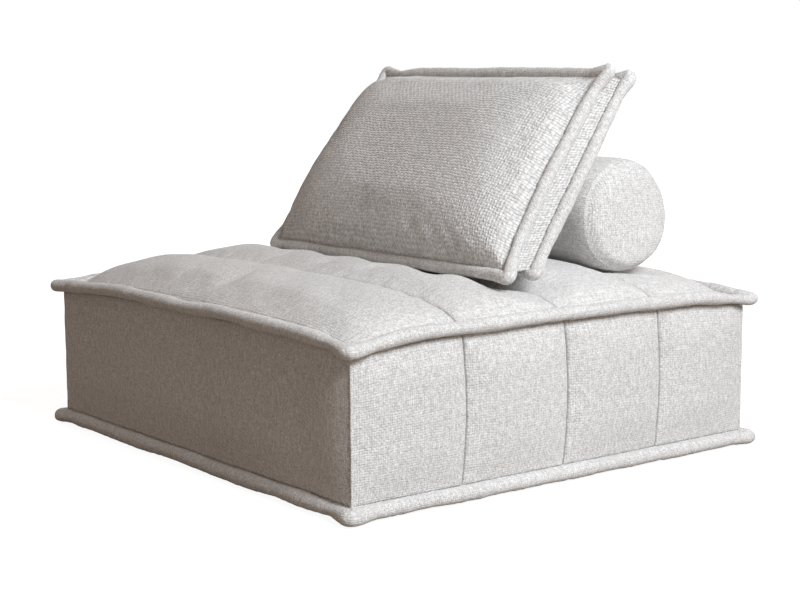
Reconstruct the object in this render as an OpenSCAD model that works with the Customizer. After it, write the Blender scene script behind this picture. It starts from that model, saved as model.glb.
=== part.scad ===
/* [Seat] */
// Width between the outer faces of the two side coverings
body_w = 960; // [880:10:1040]
// Depth between the outer faces of the front and rear coverings
body_d = 880; // [820:10:960]
// Height of the side coverings at the corners, between the rolled edges
panel_h = 233; // [212:1:250]
// How far the upper edge rises in the middle of each side
edge_bow = 14; // [6:1:18]
// How far the top swells above its edge
seat_crown = 72; // [60:1:84]
// How deep the seams between the channels are drawn in
channel_sink = 14; // [8:1:18]
// How far the seat gives way under the foot of the back cushion
cushion_press = 22; // [12:1:26]
// How far the seat gives way under the bolster
bolster_press = 24; // [12:1:28]
// How far a side covering swells between its seams
panel_puff = 5; // [2:1:8]
// Thickness of the quilted side coverings
panel_t = 4; // [3.5:0.5:5]
// Thickness of the cloth and backing of the top, the cushion and the bolster
cloth_t = 2.5; // [2:0.1:3]

/* [Rolled edges] */
// Diameter of the seat's rolled edges
seat_roll_d = 28; // [24:1:32]
// How far the seat's rolled edges stand out from the coverings
seat_roll_out = 20; // [17:1:24]
// How much further the ear at each corner of a rolled edge points out
ear_out = 9; // [4:1:12]
// Height of the lower rolled edge above the floor
roll_lift = 2; // [1.5:0.5:4]
// Diameter of the back cushion's rolled edges
cushion_roll_d = 22; // [18:1:24]

/* [Back cushion] */
// Width of the front face along its lower roll
cushion_bottom_w = 704; // [640:1:740]
// Width of the front face along its upper roll
cushion_top_w = 639; // [600:1:700]
// Height of the front face between its rolls
cushion_h = 426; // [400:1:470]
// Height of the rear face between its rolls
rear_face_h = 410; // [380:1:440]
// How far the rear face is shifted up along the front one
rear_rise = 38; // [32:1:44]
// Distance between the front and rear rolls
cushion_t = 47; // [44:1:54]
// How far the front face swells
front_crown = 70; // [50:1:84]
// How far the rear face swells
rear_crown = 78; // [60:1:88]
// Angle at which the cushion leans back
cushion_lean = 37.6; // [34:0.1:42]
// Place of the cushion's middle across the seat
cushion_x = 58; // [0:1:80]
// Place of the cushion's lower front roll along the seat
cushion_y = -66; // [-90:1:-50]

/* [Bolster] */
// Diameter of the bolster
bolster_d = 208; // [190:1:216]
// Length of the bolster over its swollen ends
bolster_len = 640; // [560:2:700]
// Place of the bolster's middle across the seat
bolster_x = 38; // [0:1:60]
// How far each end of the bolster swells
end_crown = 24; // [12:1:30]
// Length over which the tube rounds in to its end seams
end_round = 36; // [20:1:44]
// How far the end seams lie inside the tube's outside
end_seam_in = 7; // [5:1:10]

/* [Base frame] */
// Height of the outer rails
rail_h = 60; // [50:1:70]
// Thickness of all rails
rail_t = 22; // [18:1:26]
// Height of the rails that cross the frame
cross_rail_h = 48; // [42:1:50]
// Distance of the outer cross rails from the middle
cross_rail_x = 240; // [200:5:280]
// Length of a corner block along each rail
block_leg = 84; // [76:1:96]
// Height of a corner block
block_h = 40; // [36:1:46]
// Diameter of a frame screw
screw_d = 4.5; // [4:0.5:5]
// Length of a frame screw
screw_len = 60; // [50:1:70]
// Diameter of a frame screw's head
screw_head_d = 9; // [8:0.5:10]

/* [Webbing] */
// Width of a webbing strap
web_w = 50; // [40:1:60]
// Thickness of a webbing strap
web_t = 1.6; // [1.2:0.1:2]

/* [Filling] */
// Thickness of the wadding behind the side coverings
wadding_t = 6; // [5:0.5:8]
// Height of the firm foam block
support_foam_h = 112; // [100:1:120]
// Thickness of the channel filling at the seat's edge
fill_edge_h = 8; // [6:1:10]

/* [Feet] */
// Height of a glide, from the floor to the dust cover
glide_h = 12; // [10:1:16]
// Diameter of a glide
glide_d = 36; // [30:1:40]
// Distance of a corner glide from the outside of the frame
glide_inset = 40; // [38:1:46]
// Length of a glide's nail below its head
nail_len = 20; // [16:1:24]
// Diameter of a glide's nail
nail_d = 3; // [2.5:0.5:3.5]
// Diameter of the head of a glide's nail
nail_head_d = 9; // [8:0.5:11]

/* [Zips] */
// Distance of each end of the seat's zip from the seat's side
seat_zip_inset = 60; // [40:2:120]
// Height of the seat's zip above the floor
seat_zip_z = 66; // [60:1:76]
// Length of the zip in the end of the back cushion
cushion_zip_len = 340; // [280:2:360]
// Distance of each end of the bolster's zip from the bolster's end
bolster_zip_inset = 70; // [60:2:100]
// Angle of the bolster's zip below the horizontal
bolster_zip_angle = 20; // [0:1:30]
// Width of the slot in the cloth along a zip
zip_slot = 10; // [9.6:0.1:11]
// Width of each of a zip's two tapes
tape_w = 11; // [9:0.5:12]
// Thickness of a tape
tape_t = 0.8; // [0.6:0.1:1]
// Diameter of the two coils that a slider joins
coil_d = 2.2; // [1.8:0.1:2.4]
// Length of a slider
slider_l = 12; // [10:0.5:14]
// Width of a slider
slider_w = 8.8; // [8:0.1:9]
// Length of a puller from its pin to its tip
puller_l = 24; // [18:1:28]
// Width of a puller
puller_w = 6.4; // [5.5:0.1:6.6]

/* [Hidden] */
$fn = 48;

// Clearances, and one overrun for every cut
soft_gap = 0.3;
screw_fit = 0.1;
run_gap = 0.3;
pin_fit = 0.08;
tape_fit = 0.05;
over = 1;

// Small sizes of pieces that come as they are
dust_t = 1;
dust_hole_d = 6;
screw_head_h = 3;
nail_head_h = 1.2;
glide_bevel = 2;
coil_sunk = 0.4;
tape_gap = 1.4;
stop_l = 3;
plate_t = 1.2;
bridge_l = 4;
bridge_w = 0.8;
pin_d = 1.4;
lug_t = 1;
eye_wall = 1.1;
eye_w = 4;
puller_t = 1.2;
puller_hole_d = 3;

// Shares along an edge or across a piece, chosen by hand
side_shares = [-0.94, -0.8, -0.6, -0.35, 0, 0.35, 0.6, 0.8, 0.94];
short_side_shares = [-0.92, -0.65, -0.25, 0.25, 0.65, 0.92];
panel_shares = [0, 0.12, 0.5, 0.88, 1];
long_panel_shares = [0, 0.04, 0.15, 0.32, 0.5, 0.68, 0.85, 0.96, 1];
ear_radius_share = 0.6;
screw_height_shares = [0.28, 0.72];
hollow_share = 0.62;
rear_foot_shares = [-0.99:0.03:-0.6];

// How finely the soft faces and the rolled edges are drawn
roll_sides = 8;
wide_steps = 12;
high_steps = 10;
channel_steps = 6;
longest_mitre = 2;

// Levels of the base, from the floor up
rail_z = glide_h + dust_t;
web_z = rail_z + rail_h;
support_z = web_z + 2 * web_t + soft_gap;
comfort_z = support_z + support_foam_h + soft_gap;
seat_roll_r = seat_roll_d / 2;
roll_off = seat_roll_out - seat_roll_r;
roll_tuck = roll_off * tan(180 / roll_sides);
lower_seam_z = roll_lift + seat_roll_d - roll_tuck + soft_gap;
upper_seam_z = lower_seam_z + panel_h;
top_roll_z = upper_seam_z + seat_roll_r - roll_tuck + soft_gap;
fill_z = upper_seam_z - fill_edge_h;

// The outline of the seat at its several layers
half_w = body_w / 2;
half_d = body_d / 2;
frame_w = body_w - 2 * (panel_t + wadding_t);
frame_d = body_d - 2 * (panel_t + wadding_t);
top_hw = half_w - panel_t - soft_gap;
top_hd = half_d - panel_t - soft_gap;
dust_in = seat_roll_r - roll_off + soft_gap;
channel_edges = [-top_hd, -body_d / 4, 0, body_d / 4, top_hd];
side_seams = [panel_t - half_d, -body_d / 4, 0, body_d / 4, half_d - panel_t];

// How a cushion swells from its edge, and where the seat's top lies
function swell(u, v) = sqrt(max(0, (1 - pow(u, 4)) * (1 - pow(v, 4))));
function edge_rise(u, v) = edge_bow * (1 - min(1, pow(u * v, 4)));
function side_rise(s) = edge_bow * (1 - min(1, pow(s, 4)));
function roll_rise(y, half) = lookup(y, [
    [-half - roll_off - ear_out / sqrt(2), 0],
    for (s = side_shares) [s * (half + roll_off), side_rise(s * (half + roll_off) / half)],
    [half + roll_off + ear_out / sqrt(2), 0]]);
function spread(n) = [for (i = [0:n]) sin(90 * (2 * i / n - 1))];
function channel_of(y) = y < channel_edges[1] ? 0 : y < 0 ? 1 : y < channel_edges[3] ? 2 : 3;
function channel_place(k, s) =
    (channel_edges[k] + channel_edges[k + 1] + s * (channel_edges[k + 1] - channel_edges[k])) / 2;
function share_in(k, y) =
    (2 * y - channel_edges[k] - channel_edges[k + 1]) / (channel_edges[k + 1] - channel_edges[k]);

// The back cushion's own frame: x across, y away from its front face, z up along that face
cushion_roll_r = cushion_roll_d / 2;
lean_sin = sin(cushion_lean);
lean_cos = cos(cushion_lean);
foot_dy = rear_rise * lean_sin + cushion_t * lean_cos;
foot_dz = rear_rise * lean_cos - cushion_t * lean_sin;
bolster_r = bolster_d / 2;
reach = cushion_t + rear_crown + bolster_r + soft_gap;
hollow_half = hollow_share * bolster_r;
hollow_reach = bolster_len / 2 + end_crown;
press_y = cushion_y + (reach + (bolster_r - cushion_roll_r) * lean_sin) / lean_cos;
foot_mid = cushion_y + (foot_dy + rear_crown / 2) / 2;
foot_reach = (foot_dy + rear_crown) / 2;
function bump(a, b) = exp(-pow(a, 8) - pow(b, 4));
function pressed(x, y) = max(
    cushion_press * bump(
        (x - cushion_x) / (cushion_bottom_w / 2),
        (y - foot_mid) / foot_reach),
    bolster_press * bump((x - bolster_x) / hollow_reach, (y - press_y) / hollow_half));
function top_z(x, y, s) =
    let (u = x / top_hw, v = y / top_hd, f = swell(u, v))
    upper_seam_z + edge_rise(u, v)
    + f * (seat_crown - channel_sink * pow(abs(s), 3) - pressed(x, y));
function seat_z(x, y) = let (k = channel_of(y)) top_z(x, y, share_in(k, y));

// Faces of a grid of points, and of the wall round the rim of two such grids
function grid_faces(rows, cols, base, up) = [
    for (i = [0:rows - 2], j = [0:cols - 2])
        let (a = base + i * cols + j, b = a + 1, c = a + cols, d = c + 1)
        each up ? [[a, b, d], [a, d, c]] : [[a, d, b], [a, c, d]]
];
function rim(rows, cols) = [
    for (j = [0:cols - 1]) j,
    for (i = [1:rows - 1]) i * cols + cols - 1,
    for (j = [1:cols - 1]) rows * cols - 1 - j,
    for (i = [1:rows - 2]) (rows - 1 - i) * cols
];
function wall_faces(edge, base) = [
    for (k = [0:len(edge) - 1])
        let (p = edge[k], q = edge[(k + 1) % len(edge)])
        each [[p, p + base, q + base], [p, q + base, q]]
];
function flat(grid) = [for (row = grid) each row];

// A closed solid between an upper and a lower grid of points
module loft(upper, lower) {
    rows = len(upper);
    cols = len(upper[0]);
    count = rows * cols;
    polyhedron(
        points = concat(flat(upper), flat(lower)),
        faces = concat(
            grid_faces(rows, cols, 0, true),
            grid_faces(rows, cols, count, false),
            wall_faces(rim(rows, cols), count)),
        convexity = 6);
}

function unit(v) = v / norm(v);
function ring_at(path, radii, k, sides) =
    let (
        n = len(path),
        before = unit(path[k] - path[(k + n - 1) % n]),
        after = unit(path[(k + 1) % n] - path[k]),
        along = unit(before + after),
        flatways = unit(cross(along, [0, 0, 1])),
        upways = cross(flatways, along),
        mitre = min(longest_mitre, 1 / (before * along)))
    [for (i = [0:sides - 1])
        path[k] + radii[k] * (cos(360 * i / sides) * mitre * flatways + sin(360 * i / sides) * upways)];

// A tube round a closed path
module roll(path, radii) {
    n = len(path);
    sides = roll_sides;
    polyhedron(
        points = [for (k = [0:n - 1]) each ring_at(path, radii, k, sides)],
        faces = [for (k = [0:n - 1], i = [0:sides - 1])
            let (
                m = (k + 1) % n,
                j = (i + 1) % sides)
            each [[k * sides + i, k * sides + j, m * sides + i],
                  [k * sides + j, m * sides + j, m * sides + i]]],
        convexity = 8);
}

// A rolled edge round a box: four sides, and an ear at each corner
function seat_roll_path(level, bow) =
    let (hx = half_w + roll_off, hy = half_d + roll_off, ear = ear_out / sqrt(2))
    concat(
        [for (s = side_shares) [hx, s * hy, level + bow * side_rise(s * hy / half_d)]],
        [[hx + ear, hy + ear, level]],
        [for (s = side_shares) [-s * hx, hy, level + bow * side_rise(s * hx / half_w)]],
        [[-hx - ear, hy + ear, level]],
        [for (s = side_shares) [-hx, -s * hy, level + bow * side_rise(s * hy / half_d)]],
        [[-hx - ear, -hy - ear, level]],
        [for (s = side_shares) [s * hx, -hy, level + bow * side_rise(s * hx / half_w)]],
        [[hx + ear, -hy - ear, level]]);
seat_roll_radii = [
    for (side = [1:4])
        each concat([for (s = side_shares) seat_roll_r], [seat_roll_r * ear_radius_share])
];

// A side covering of the right-hand side, between two of its seams
module side_panel(k) {
    y0 = side_seams[k];
    y1 = side_seams[k + 1];
    function edge(s, t, bulge) =
        let (y = y0 + s * (y1 - y0), top = upper_seam_z + roll_rise(y, half_d))
        [half_w + bulge * (1 - pow(2 * s - 1, 4)) * (1 - pow(2 * t - 1, 4)),
         y, lower_seam_z + t * (top - lower_seam_z)];
    loft(
        [for (s = panel_shares) [for (t = panel_shares) edge(s, t, panel_puff)]],
        [for (s = panel_shares) [for (t = panel_shares) edge(s, t, 0) - [panel_t, 0, 0]]]);
}

// A covering across the whole front, from a level up to the rolled edge
module front_shape(low) {
    function edge(s, t, bulge) =
        let (x = (2 * s - 1) * half_w, top = upper_seam_z + roll_rise(x, half_w))
        [x, -half_d - bulge * (1 - pow(2 * s - 1, 4)) * (1 - pow(2 * t - 1, 4)),
         low + t * (top - low)];
    loft(
        [for (s = long_panel_shares) [for (t = panel_shares) edge(s, t, panel_puff)]],
        [for (s = long_panel_shares) [for (t = panel_shares) edge(s, t, 0) + [0, panel_t, 0]]]);
}

// The cloth and the filling of one channel of the seat's top
function channel_grid(k, drop) = [
    for (u = spread(wide_steps))
        [for (s = spread(channel_steps))
            let (x = u * top_hw, y = channel_place(k, s))
            [x, y, top_z(x, y, s) - drop]]
];
module channel_cloth(k) {
    loft(channel_grid(k, 0), channel_grid(k, cloth_t));
}
module channel_filling(k) {
    upper = channel_grid(k, cloth_t + soft_gap);
    loft(upper, [for (row = upper) [for (p = row) [p.x, p.y, fill_z]]]);
}

// A box centred across and along, standing on a level
module slab(width, depth, low, height) {
    translate([-width / 2, -depth / 2, low]) cube([width, depth, height]);
}

// A frame screw along Y with its head's flat at the start; the holes are the same shape, larger
module screw_shape(fit) {
    r = screw_d / 2 + fit;
    head_r = screw_head_d / 2 + fit;
    rotate([-90, 0, 0]) {
        cylinder(h = screw_head_h + fit, r1 = head_r, r2 = r);
        cylinder(h = screw_len + fit, r = r);
    }
}
screw_xs = [rail_t / 2 - frame_w / 2, -cross_rail_x, 0, cross_rail_x, frame_w / 2 - rail_t / 2];
function screw_height(x, share) = rail_z + share * (abs(x) > cross_rail_x ? rail_h : cross_rail_h);
module all_screws(fit) {
    for (x = screw_xs, share = screw_height_shares, side = [0, 1])
        mirror([0, side, 0])
            translate([x, -frame_d / 2, screw_height(x, share)]) screw_shape(fit);
}
module end_rail() {
    difference() {
        translate([-frame_w / 2, -frame_d / 2, rail_z]) cube([frame_w, rail_t, rail_h]);
        all_screws(screw_fit);
    }
}
module long_rail(x, height) {
    difference() {
        translate([x - rail_t / 2, rail_t - frame_d / 2, rail_z])
            cube([rail_t, frame_d - 2 * rail_t, height]);
        all_screws(screw_fit);
    }
}

// Where the glides and their nails stand
glide_places = [
    for (sx = [-1, 1], sy = [-1, 1])
        [sx * (frame_w / 2 - glide_inset), sy * (frame_d / 2 - glide_inset)],
    [0, 0]
];
module nail_shape(fit) {
    translate([0, 0, glide_h - nail_head_h - fit])
        cylinder(h = nail_head_h + fit, d = nail_head_d + 2 * fit);
    translate([0, 0, glide_h - nail_head_h])
        cylinder(h = nail_head_h + nail_len + fit, d = nail_d + 2 * fit);
}
module nails(fit) {
    for (p = glide_places)
        translate([p.x, p.y, 0]) nail_shape(fit);
}

// Webbing straps, woven one over and one under
web_span_x = frame_w - 2 * rail_t;
web_span_y = frame_d - 2 * rail_t;
lengthwise_count = 5;
crosswise_count = 6;
function strap_place(i, count, span) = (i + 0.5) * span / count - span / 2;
function strap_path(span, count, first) = concat(
    [[-span / 2 - rail_t, 0], [-span / 2, 0]],
    [for (i = [0:count - 1])
        let (p = strap_place(i, count, span), z = (i + first) % 2 == 0 ? web_t : 0)
        each [[p - web_w / 2, z], [p + web_w / 2, z]]],
    [[span / 2, 0], [span / 2 + rail_t, 0]]);
module strap(span, count, first) {
    path = strap_path(span, count, first);
    n = len(path);
    rotate([90, 0, 0]) translate([0, web_z, -web_w / 2])
        linear_extrude(height = web_w)
            polygon(concat(path, [for (k = [1:n]) path[n - k] + [0, web_t]]));
}

// Zips lie along X with their tape's face at z = 0 and their coils on top
coil_top = coil_d - coil_sunk;
pin_z = coil_top + run_gap + plate_t + run_gap + pin_d / 2 + eye_wall;
seat_zip_len = body_w - 2 * seat_zip_inset;
bolster_zip_len = bolster_len - 2 * bolster_zip_inset;
slot_more = 2 * stop_l;
seat_slot_half = (seat_zip_len + slot_more) / 2;
zip_room_depth = tape_t + run_gap + plate_t + 2 * run_gap;
function slider_rest(length) = length / 2 - stop_l - slider_l / 2 - run_gap;
module zip_band(length) {
    for (side = [-1, 1]) {
        translate([-length / 2, side > 0 ? tape_gap / 2 : -tape_gap / 2 - tape_w, -tape_t])
            cube([length, tape_w, tape_t - tape_fit]);
        translate([-length / 2, side * (tape_gap + coil_d) / 2, coil_d / 2 - coil_sunk])
            rotate([0, 90, 0]) cylinder(h = length, d = coil_d);
        translate([side * (length - stop_l) / 2 - stop_l / 2, -tape_gap / 2 - coil_d, -tape_t])
            cube([stop_l, tape_gap + 2 * coil_d, tape_t + coil_d]);
    }
}
module zip_slider_shape() {
    front_z = coil_top + run_gap;
    back_z = -tape_t - run_gap - plate_t;
    pin_len = eye_w + 2 * run_gap + 2 * lug_t;
    translate([-slider_l / 2, -slider_w / 2, front_z]) cube([slider_l, slider_w, plate_t]);
    translate([-slider_l / 2, -slider_w / 2, back_z]) cube([slider_l, slider_w, plate_t]);
    translate([-bridge_l / 2, -bridge_w / 2, back_z]) cube([bridge_l, bridge_w, front_z - back_z + plate_t]);
    for (side = [-1, 1])
        translate([0, side * (eye_w / 2 + run_gap + lug_t / 2), 0]) {
            translate([-pin_d, -lug_t / 2, front_z]) cube([2 * pin_d, lug_t, pin_z - front_z]);
            translate([0, lug_t / 2, pin_z]) rotate([90, 0, 0]) cylinder(h = lug_t, r = pin_d);
        }
    translate([0, pin_len / 2, pin_z]) rotate([90, 0, 0]) cylinder(h = pin_len, d = pin_d);
}
module zip_puller_shape() {
    eye_r = pin_d / 2 + eye_wall;
    neck = 2 * pin_d + run_gap;
    translate([0, 0, pin_z]) difference() {
        union() {
            translate([0, eye_w / 2, 0]) rotate([90, 0, 0]) cylinder(h = eye_w, r = eye_r);
            translate([0, -eye_w / 2, -puller_t / 2]) cube([neck + over, eye_w, puller_t]);
            translate([neck, -puller_w / 2, -puller_t / 2])
                cube([puller_l - neck - puller_w / 2, puller_w, puller_t]);
            translate([puller_l - puller_w / 2, 0, -puller_t / 2]) cylinder(h = puller_t, d = puller_w);
        }
        translate([0, eye_w / 2 + over, 0]) rotate([90, 0, 0])
            cylinder(h = eye_w + 2 * over, d = pin_d + 2 * pin_fit);
        translate([puller_l - puller_w / 2, 0, -puller_t])
            cylinder(h = 2 * puller_t, d = puller_hole_d);
    }
}
// Room for a zip, cut from the cloth over it and from the filling under it
module zip_room(length) {
    slot_len = length + slot_more;
    tape_span = tape_gap + 2 * tape_w + 2 * run_gap;
    translate([-slot_len / 2, -zip_slot / 2, -over]) cube([slot_len, zip_slot, pin_z + over]);
    translate([-slot_len / 2, -tape_span / 2, -zip_room_depth])
        cube([slot_len, tape_span, zip_room_depth]);
}
module on_seat_rear() {
    translate([0, half_d - panel_t, seat_zip_z]) rotate([-90, 0, 0]) children();
}

// The cushion's place on the seat, found from what lies under its rolls and its rear face
function rear_point(u, v) =
    let (
        up = rear_rise + (v + 1) / 2 * rear_face_h,
        deep = cushion_t + rear_crown * swell(u, v))
    [cushion_x + u * (face_half(up) - cushion_roll_r),
     cushion_y + up * lean_sin + deep * lean_cos,
     up * lean_cos - deep * lean_sin];
function face_half(up) = (cushion_bottom_w + (cushion_top_w - cushion_bottom_w) * up / cushion_h) / 2;
foot_arc = [for (a = [-60:20:60]) cushion_roll_r * [sin(a), cos(a)]];
under_rolls = [
    for (u = spread(wide_steps), a = foot_arc)
        let (x = cushion_x + u * cushion_bottom_w / 2)
        max(seat_z(x, cushion_y + a.x) + a.y, seat_z(x, cushion_y + foot_dy + a.x) + a.y - foot_dz)
];
under_rear = [
    for (u = spread(wide_steps), v = rear_foot_shares)
        let (p = rear_point(u, v))
        seat_z(p.x, p.y) - p.z
];
cushion_z = soft_gap + max(max(under_rolls), max(under_rear));
module on_cushion() {
    translate([cushion_x, cushion_y, cushion_z]) rotate([-cushion_lean, 0, 0]) children();
}

// The bolster's place: it rests on the seat, and the cushion leans against it.
// The flat faces of the top lie a little under its true curve.
facet_drop = 0.8;
function lying_z(y) = soft_gap - facet_drop + max([
    for (u = spread(wide_steps), a = [-50:5:50])
        seat_z(bolster_x + u * (bolster_len / 2 - end_round), y + bolster_r * sin(a))
        + bolster_r * cos(a)]);
function leaning_y(z) = cushion_y + (reach + (z - cushion_z) * lean_sin) / lean_cos;
bolster_y = leaning_y(lying_z(leaning_y(lying_z(press_y))));
bolster_z = lying_z(bolster_y);
module on_bolster() {
    translate([bolster_x, bolster_y, bolster_z]) children();
}

// One crowned face of the cushion, seen from outside it, as a grid across and up the face
function face_grid(low, height, deep, crown, drop, side) = [
    for (u = spread(wide_steps))
        [for (v = spread(high_steps))
            let (
                up = low + height / 2 + v * (height / 2 - side),
                half = face_half(up) - side)
            [-u * half, deep + crown * swell(u, v) - drop, up]]
];
face_in = cushion_roll_r + soft_gap;
module cushion_face(low, height, deep, crown, inside) {
    loft(
        face_grid(low, height, deep, crown, 0, face_in),
        face_grid(low, height, deep, crown, inside, face_in));
}
// A rolled edge round one face of the cushion
function cushion_roll_path(low, height, deep) =
    let (ear = ear_out / 2, half_b = face_half(low), half_t = face_half(low + height))
    concat(
        [for (s = short_side_shares)
            let (up = low + (s + 1) / 2 * height)
            [face_half(up), deep, up]],
        [[half_t + ear, deep, low + height + ear]],
        [for (s = side_shares) [-s * half_t, deep, low + height]],
        [[-half_t - ear, deep, low + height + ear]],
        [for (s = short_side_shares)
            let (up = low + (1 - s) / 2 * height)
            [-face_half(up), deep, up]],
        [[-half_b - ear, deep, low - ear]],
        [for (s = side_shares) [s * half_b, deep, low]],
        [[half_b + ear, deep, low - ear]]);
cushion_roll_radii = [
    for (side = [1, 2])
        each concat(
            [for (s = short_side_shares) cushion_roll_r],
            [cushion_roll_r * ear_radius_share],
            [for (s = side_shares) cushion_roll_r],
            [cushion_roll_r * ear_radius_share])
];
// Sweeps lie flat, so the path is laid down, swept and stood up again
module cushion_roll(low, height, deep) {
    laid = [for (p = cushion_roll_path(low, height, deep)) [p.x, p.z, -p.y]];
    rotate([90, 0, 0]) roll(laid, cushion_roll_radii);
}

// The band between the rolls; depth runs from one roll to the other
gusset_t = cushion_roll_r / 2;
gusset_in = cushion_roll_r - gusset_t;
function band_low(deep) = rear_rise * deep / cushion_t;
function band_high(deep) = cushion_h + (rear_rise + rear_face_h - cushion_h) * deep / cushion_t;
function band_point(deep, side, top, inset) =
    let (up = top ? band_high(deep) - inset : band_low(deep) + inset)
    [side * (face_half(up) - inset), deep, up];
band_deeps = [cushion_t - cushion_roll_r - soft_gap, cushion_roll_r + soft_gap];
function band_row(side, top, inset) = [for (deep = band_deeps) band_point(deep, side, top, inset)];
function band_grid(inset) = [
    band_row(-1, false, inset), band_row(1, false, inset), band_row(1, true, inset), band_row(-1, true, inset)
];
module end_strip(deep0, deep1) {
    function strip_grid(inset) = [
        for (top = [false, true])
            [for (deep = [deep0, deep1])
                let (p = band_point(deep, -1, top, gusset_in + gusset_t))
                [-face_half(p.z) + inset, deep, p.z]]
    ];
    loft(strip_grid(gusset_in), strip_grid(gusset_in + gusset_t));
}
end_taper = atan((cushion_bottom_w - cushion_top_w) / 2 / cushion_h);
zip_mid = (band_low(cushion_t / 2) + band_high(cushion_t / 2)) / 2;
module on_cushion_end() {
    on_cushion()
        translate([gusset_in + gusset_t - face_half(zip_mid), cushion_t / 2, zip_mid])
            rotate([0, end_taper - 90, 0]) rotate([0, 0, 180]) children();
}

// Profiles of the bolster, as radius and distance from its middle
end_seam_x = bolster_len / 2 - end_crown;
end_seam_r = bolster_r - end_seam_in;
function shoulder(inset) = [
    for (a = [0:15:90])
        [bolster_r - end_seam_in * (1 - cos(a)) - inset, end_seam_x - end_round * (1 - sin(a))]
];
function dome(rim_r, rise) = [
    for (a = [90:-10:0]) [rim_r * sin(a), end_seam_x + rise * sqrt(1 - pow(sin(a), 4))]
];
module lathe(points) {
    rotate([0, 90, 0]) rotate_extrude($fn = 96) polygon(points);
}
module both_ways(points) {
    lathe(concat(points, [for (k = [1:len(points)]) let (p = points[len(points) - k]) [p.x, -p.y]]));
}
// A tube with both its ends: out along one profile and back along the other
module tube(outer, inner) {
    n = len(outer);
    lathe(concat(
        outer,
        [for (k = [1:n]) inner[n - k]],
        [for (p = inner) [p.x, -p.y]],
        [for (k = [1:n]) [outer[n - k].x, -outer[n - k].y]]));
}
bolster_tape_r = (bolster_r - cloth_t) * cos(asin((tape_w + tape_gap / 2) / (bolster_r - cloth_t)));
module on_bolster_zip() {
    on_bolster() rotate([-90 - bolster_zip_angle, 0, 0]) translate([0, 0, bolster_tape_r]) children();
}

wood = "burlywood";
cloth = "gainsboro";
shade = "lightgrey";
foam = "lemonchiffon";
zip_metal = "silver";

module front_rail() { color(wood) end_rail(); }
module rear_rail() { color(wood) mirror([0, 1, 0]) end_rail(); }
module left_rail() { color(wood) long_rail(rail_t / 2 - frame_w / 2, rail_h); }
module right_rail() { color(wood) long_rail(frame_w / 2 - rail_t / 2, rail_h); }
module centre_rail() {
    color(wood) difference() {
        long_rail(0, cross_rail_h);
        nails(screw_fit);
    }
}
module cross_rails() {
    color(wood) for (side = [-1, 1]) long_rail(side * cross_rail_x, cross_rail_h);
}
module corner_blocks() {
    color(wood) difference() {
        for (sx = [0, 1], sy = [0, 1])
            mirror([sx, 0, 0]) mirror([0, sy, 0])
                translate([rail_t - frame_w / 2, rail_t - frame_d / 2, rail_z])
                    linear_extrude(height = block_h)
                        polygon([[0, 0], [block_leg, 0], [0, block_leg]]);
        nails(screw_fit);
    }
}
module frame_screws() { color("silver") all_screws(0); }
module webbing_lengthwise() {
    color("tan") for (j = [0:lengthwise_count - 1])
        translate([0, strap_place(j, lengthwise_count, web_span_y), 0])
            strap(web_span_x, crosswise_count, j);
}
module webbing_crosswise() {
    color("saddlebrown") for (i = [0:crosswise_count - 1])
        translate([strap_place(i, crosswise_count, web_span_x), 0, 0])
            rotate([0, 0, 90]) strap(web_span_y, lengthwise_count, i + 1);
}
module glides() {
    color("dimgrey") difference() {
        for (p = glide_places)
            translate([p.x, p.y, 0]) {
                cylinder(h = glide_bevel, d1 = glide_d - 2 * glide_bevel, d2 = glide_d);
                translate([0, 0, glide_bevel]) cylinder(h = glide_h - glide_bevel, d = glide_d);
            }
        nails(screw_fit);
    }
}
module glide_nails() { color("silver") nails(0); }
module dust_cover() {
    color("dimgrey") difference() {
        slab(body_w - 2 * dust_in, body_d - 2 * dust_in, glide_h, dust_t);
        for (p = glide_places)
            translate([p.x, p.y, glide_h - over]) cylinder(h = dust_t + 2 * over, d = dust_hole_d);
    }
}
module support_foam() { color(foam) slab(frame_w - soft_gap, frame_d - soft_gap, support_z, support_foam_h); }
module comfort_foam() {
    color(foam) slab(frame_w - soft_gap, frame_d - soft_gap, comfort_z, fill_z - soft_gap - comfort_z);
}
module side_wadding() {
    height = fill_z - soft_gap - lower_seam_z;
    color("white") difference() {
        slab(frame_w + 2 * wadding_t, frame_d + 2 * wadding_t, lower_seam_z, height);
        slab(frame_w, frame_d, lower_seam_z - over, height + 2 * over);
        on_seat_rear() zip_room(seat_zip_len);
    }
}
module top_channel(k) { color(cloth) channel_cloth(k); }
module channel_fill(k) { color("white") channel_filling(k); }
module right_panel(k) { color(cloth) side_panel(k); }
module left_panel(k) { color(cloth) mirror([1, 0, 0]) side_panel(k); }
module front_panel() { color(shade) front_shape(lower_seam_z); }
module rear_panel_upper() { color(shade) mirror([0, 1, 0]) front_shape(seat_zip_z + zip_slot / 2); }
module rear_panel_lower() {
    color(shade) translate([-half_w, half_d - panel_t, lower_seam_z])
        cube([body_w, panel_t, seat_zip_z - zip_slot / 2 - lower_seam_z]);
}
module rear_zip_patches() {
    color(shade) for (side = [0, 1])
        mirror([side, 0, 0])
            translate([seat_slot_half, half_d - panel_t, seat_zip_z - zip_slot / 2 + soft_gap])
                cube([half_w - seat_slot_half, panel_t, zip_slot - 2 * soft_gap]);
}
module top_roll() {
    color(cloth) roll(seat_roll_path(top_roll_z, 1), seat_roll_radii);
}
module bottom_roll() {
    color(shade) roll(seat_roll_path(roll_lift + seat_roll_r, 0), seat_roll_radii);
}
module seat_zip_tape() { color(shade) on_seat_rear() zip_band(seat_zip_len); }
module seat_zip_slider() {
    color(zip_metal) on_seat_rear()
        translate([-slider_rest(seat_zip_len), 0, 0]) zip_slider_shape();
}
module seat_zip_puller() {
    color(zip_metal) on_seat_rear()
        translate([-slider_rest(seat_zip_len), 0, 0]) zip_puller_shape();
}

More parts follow.
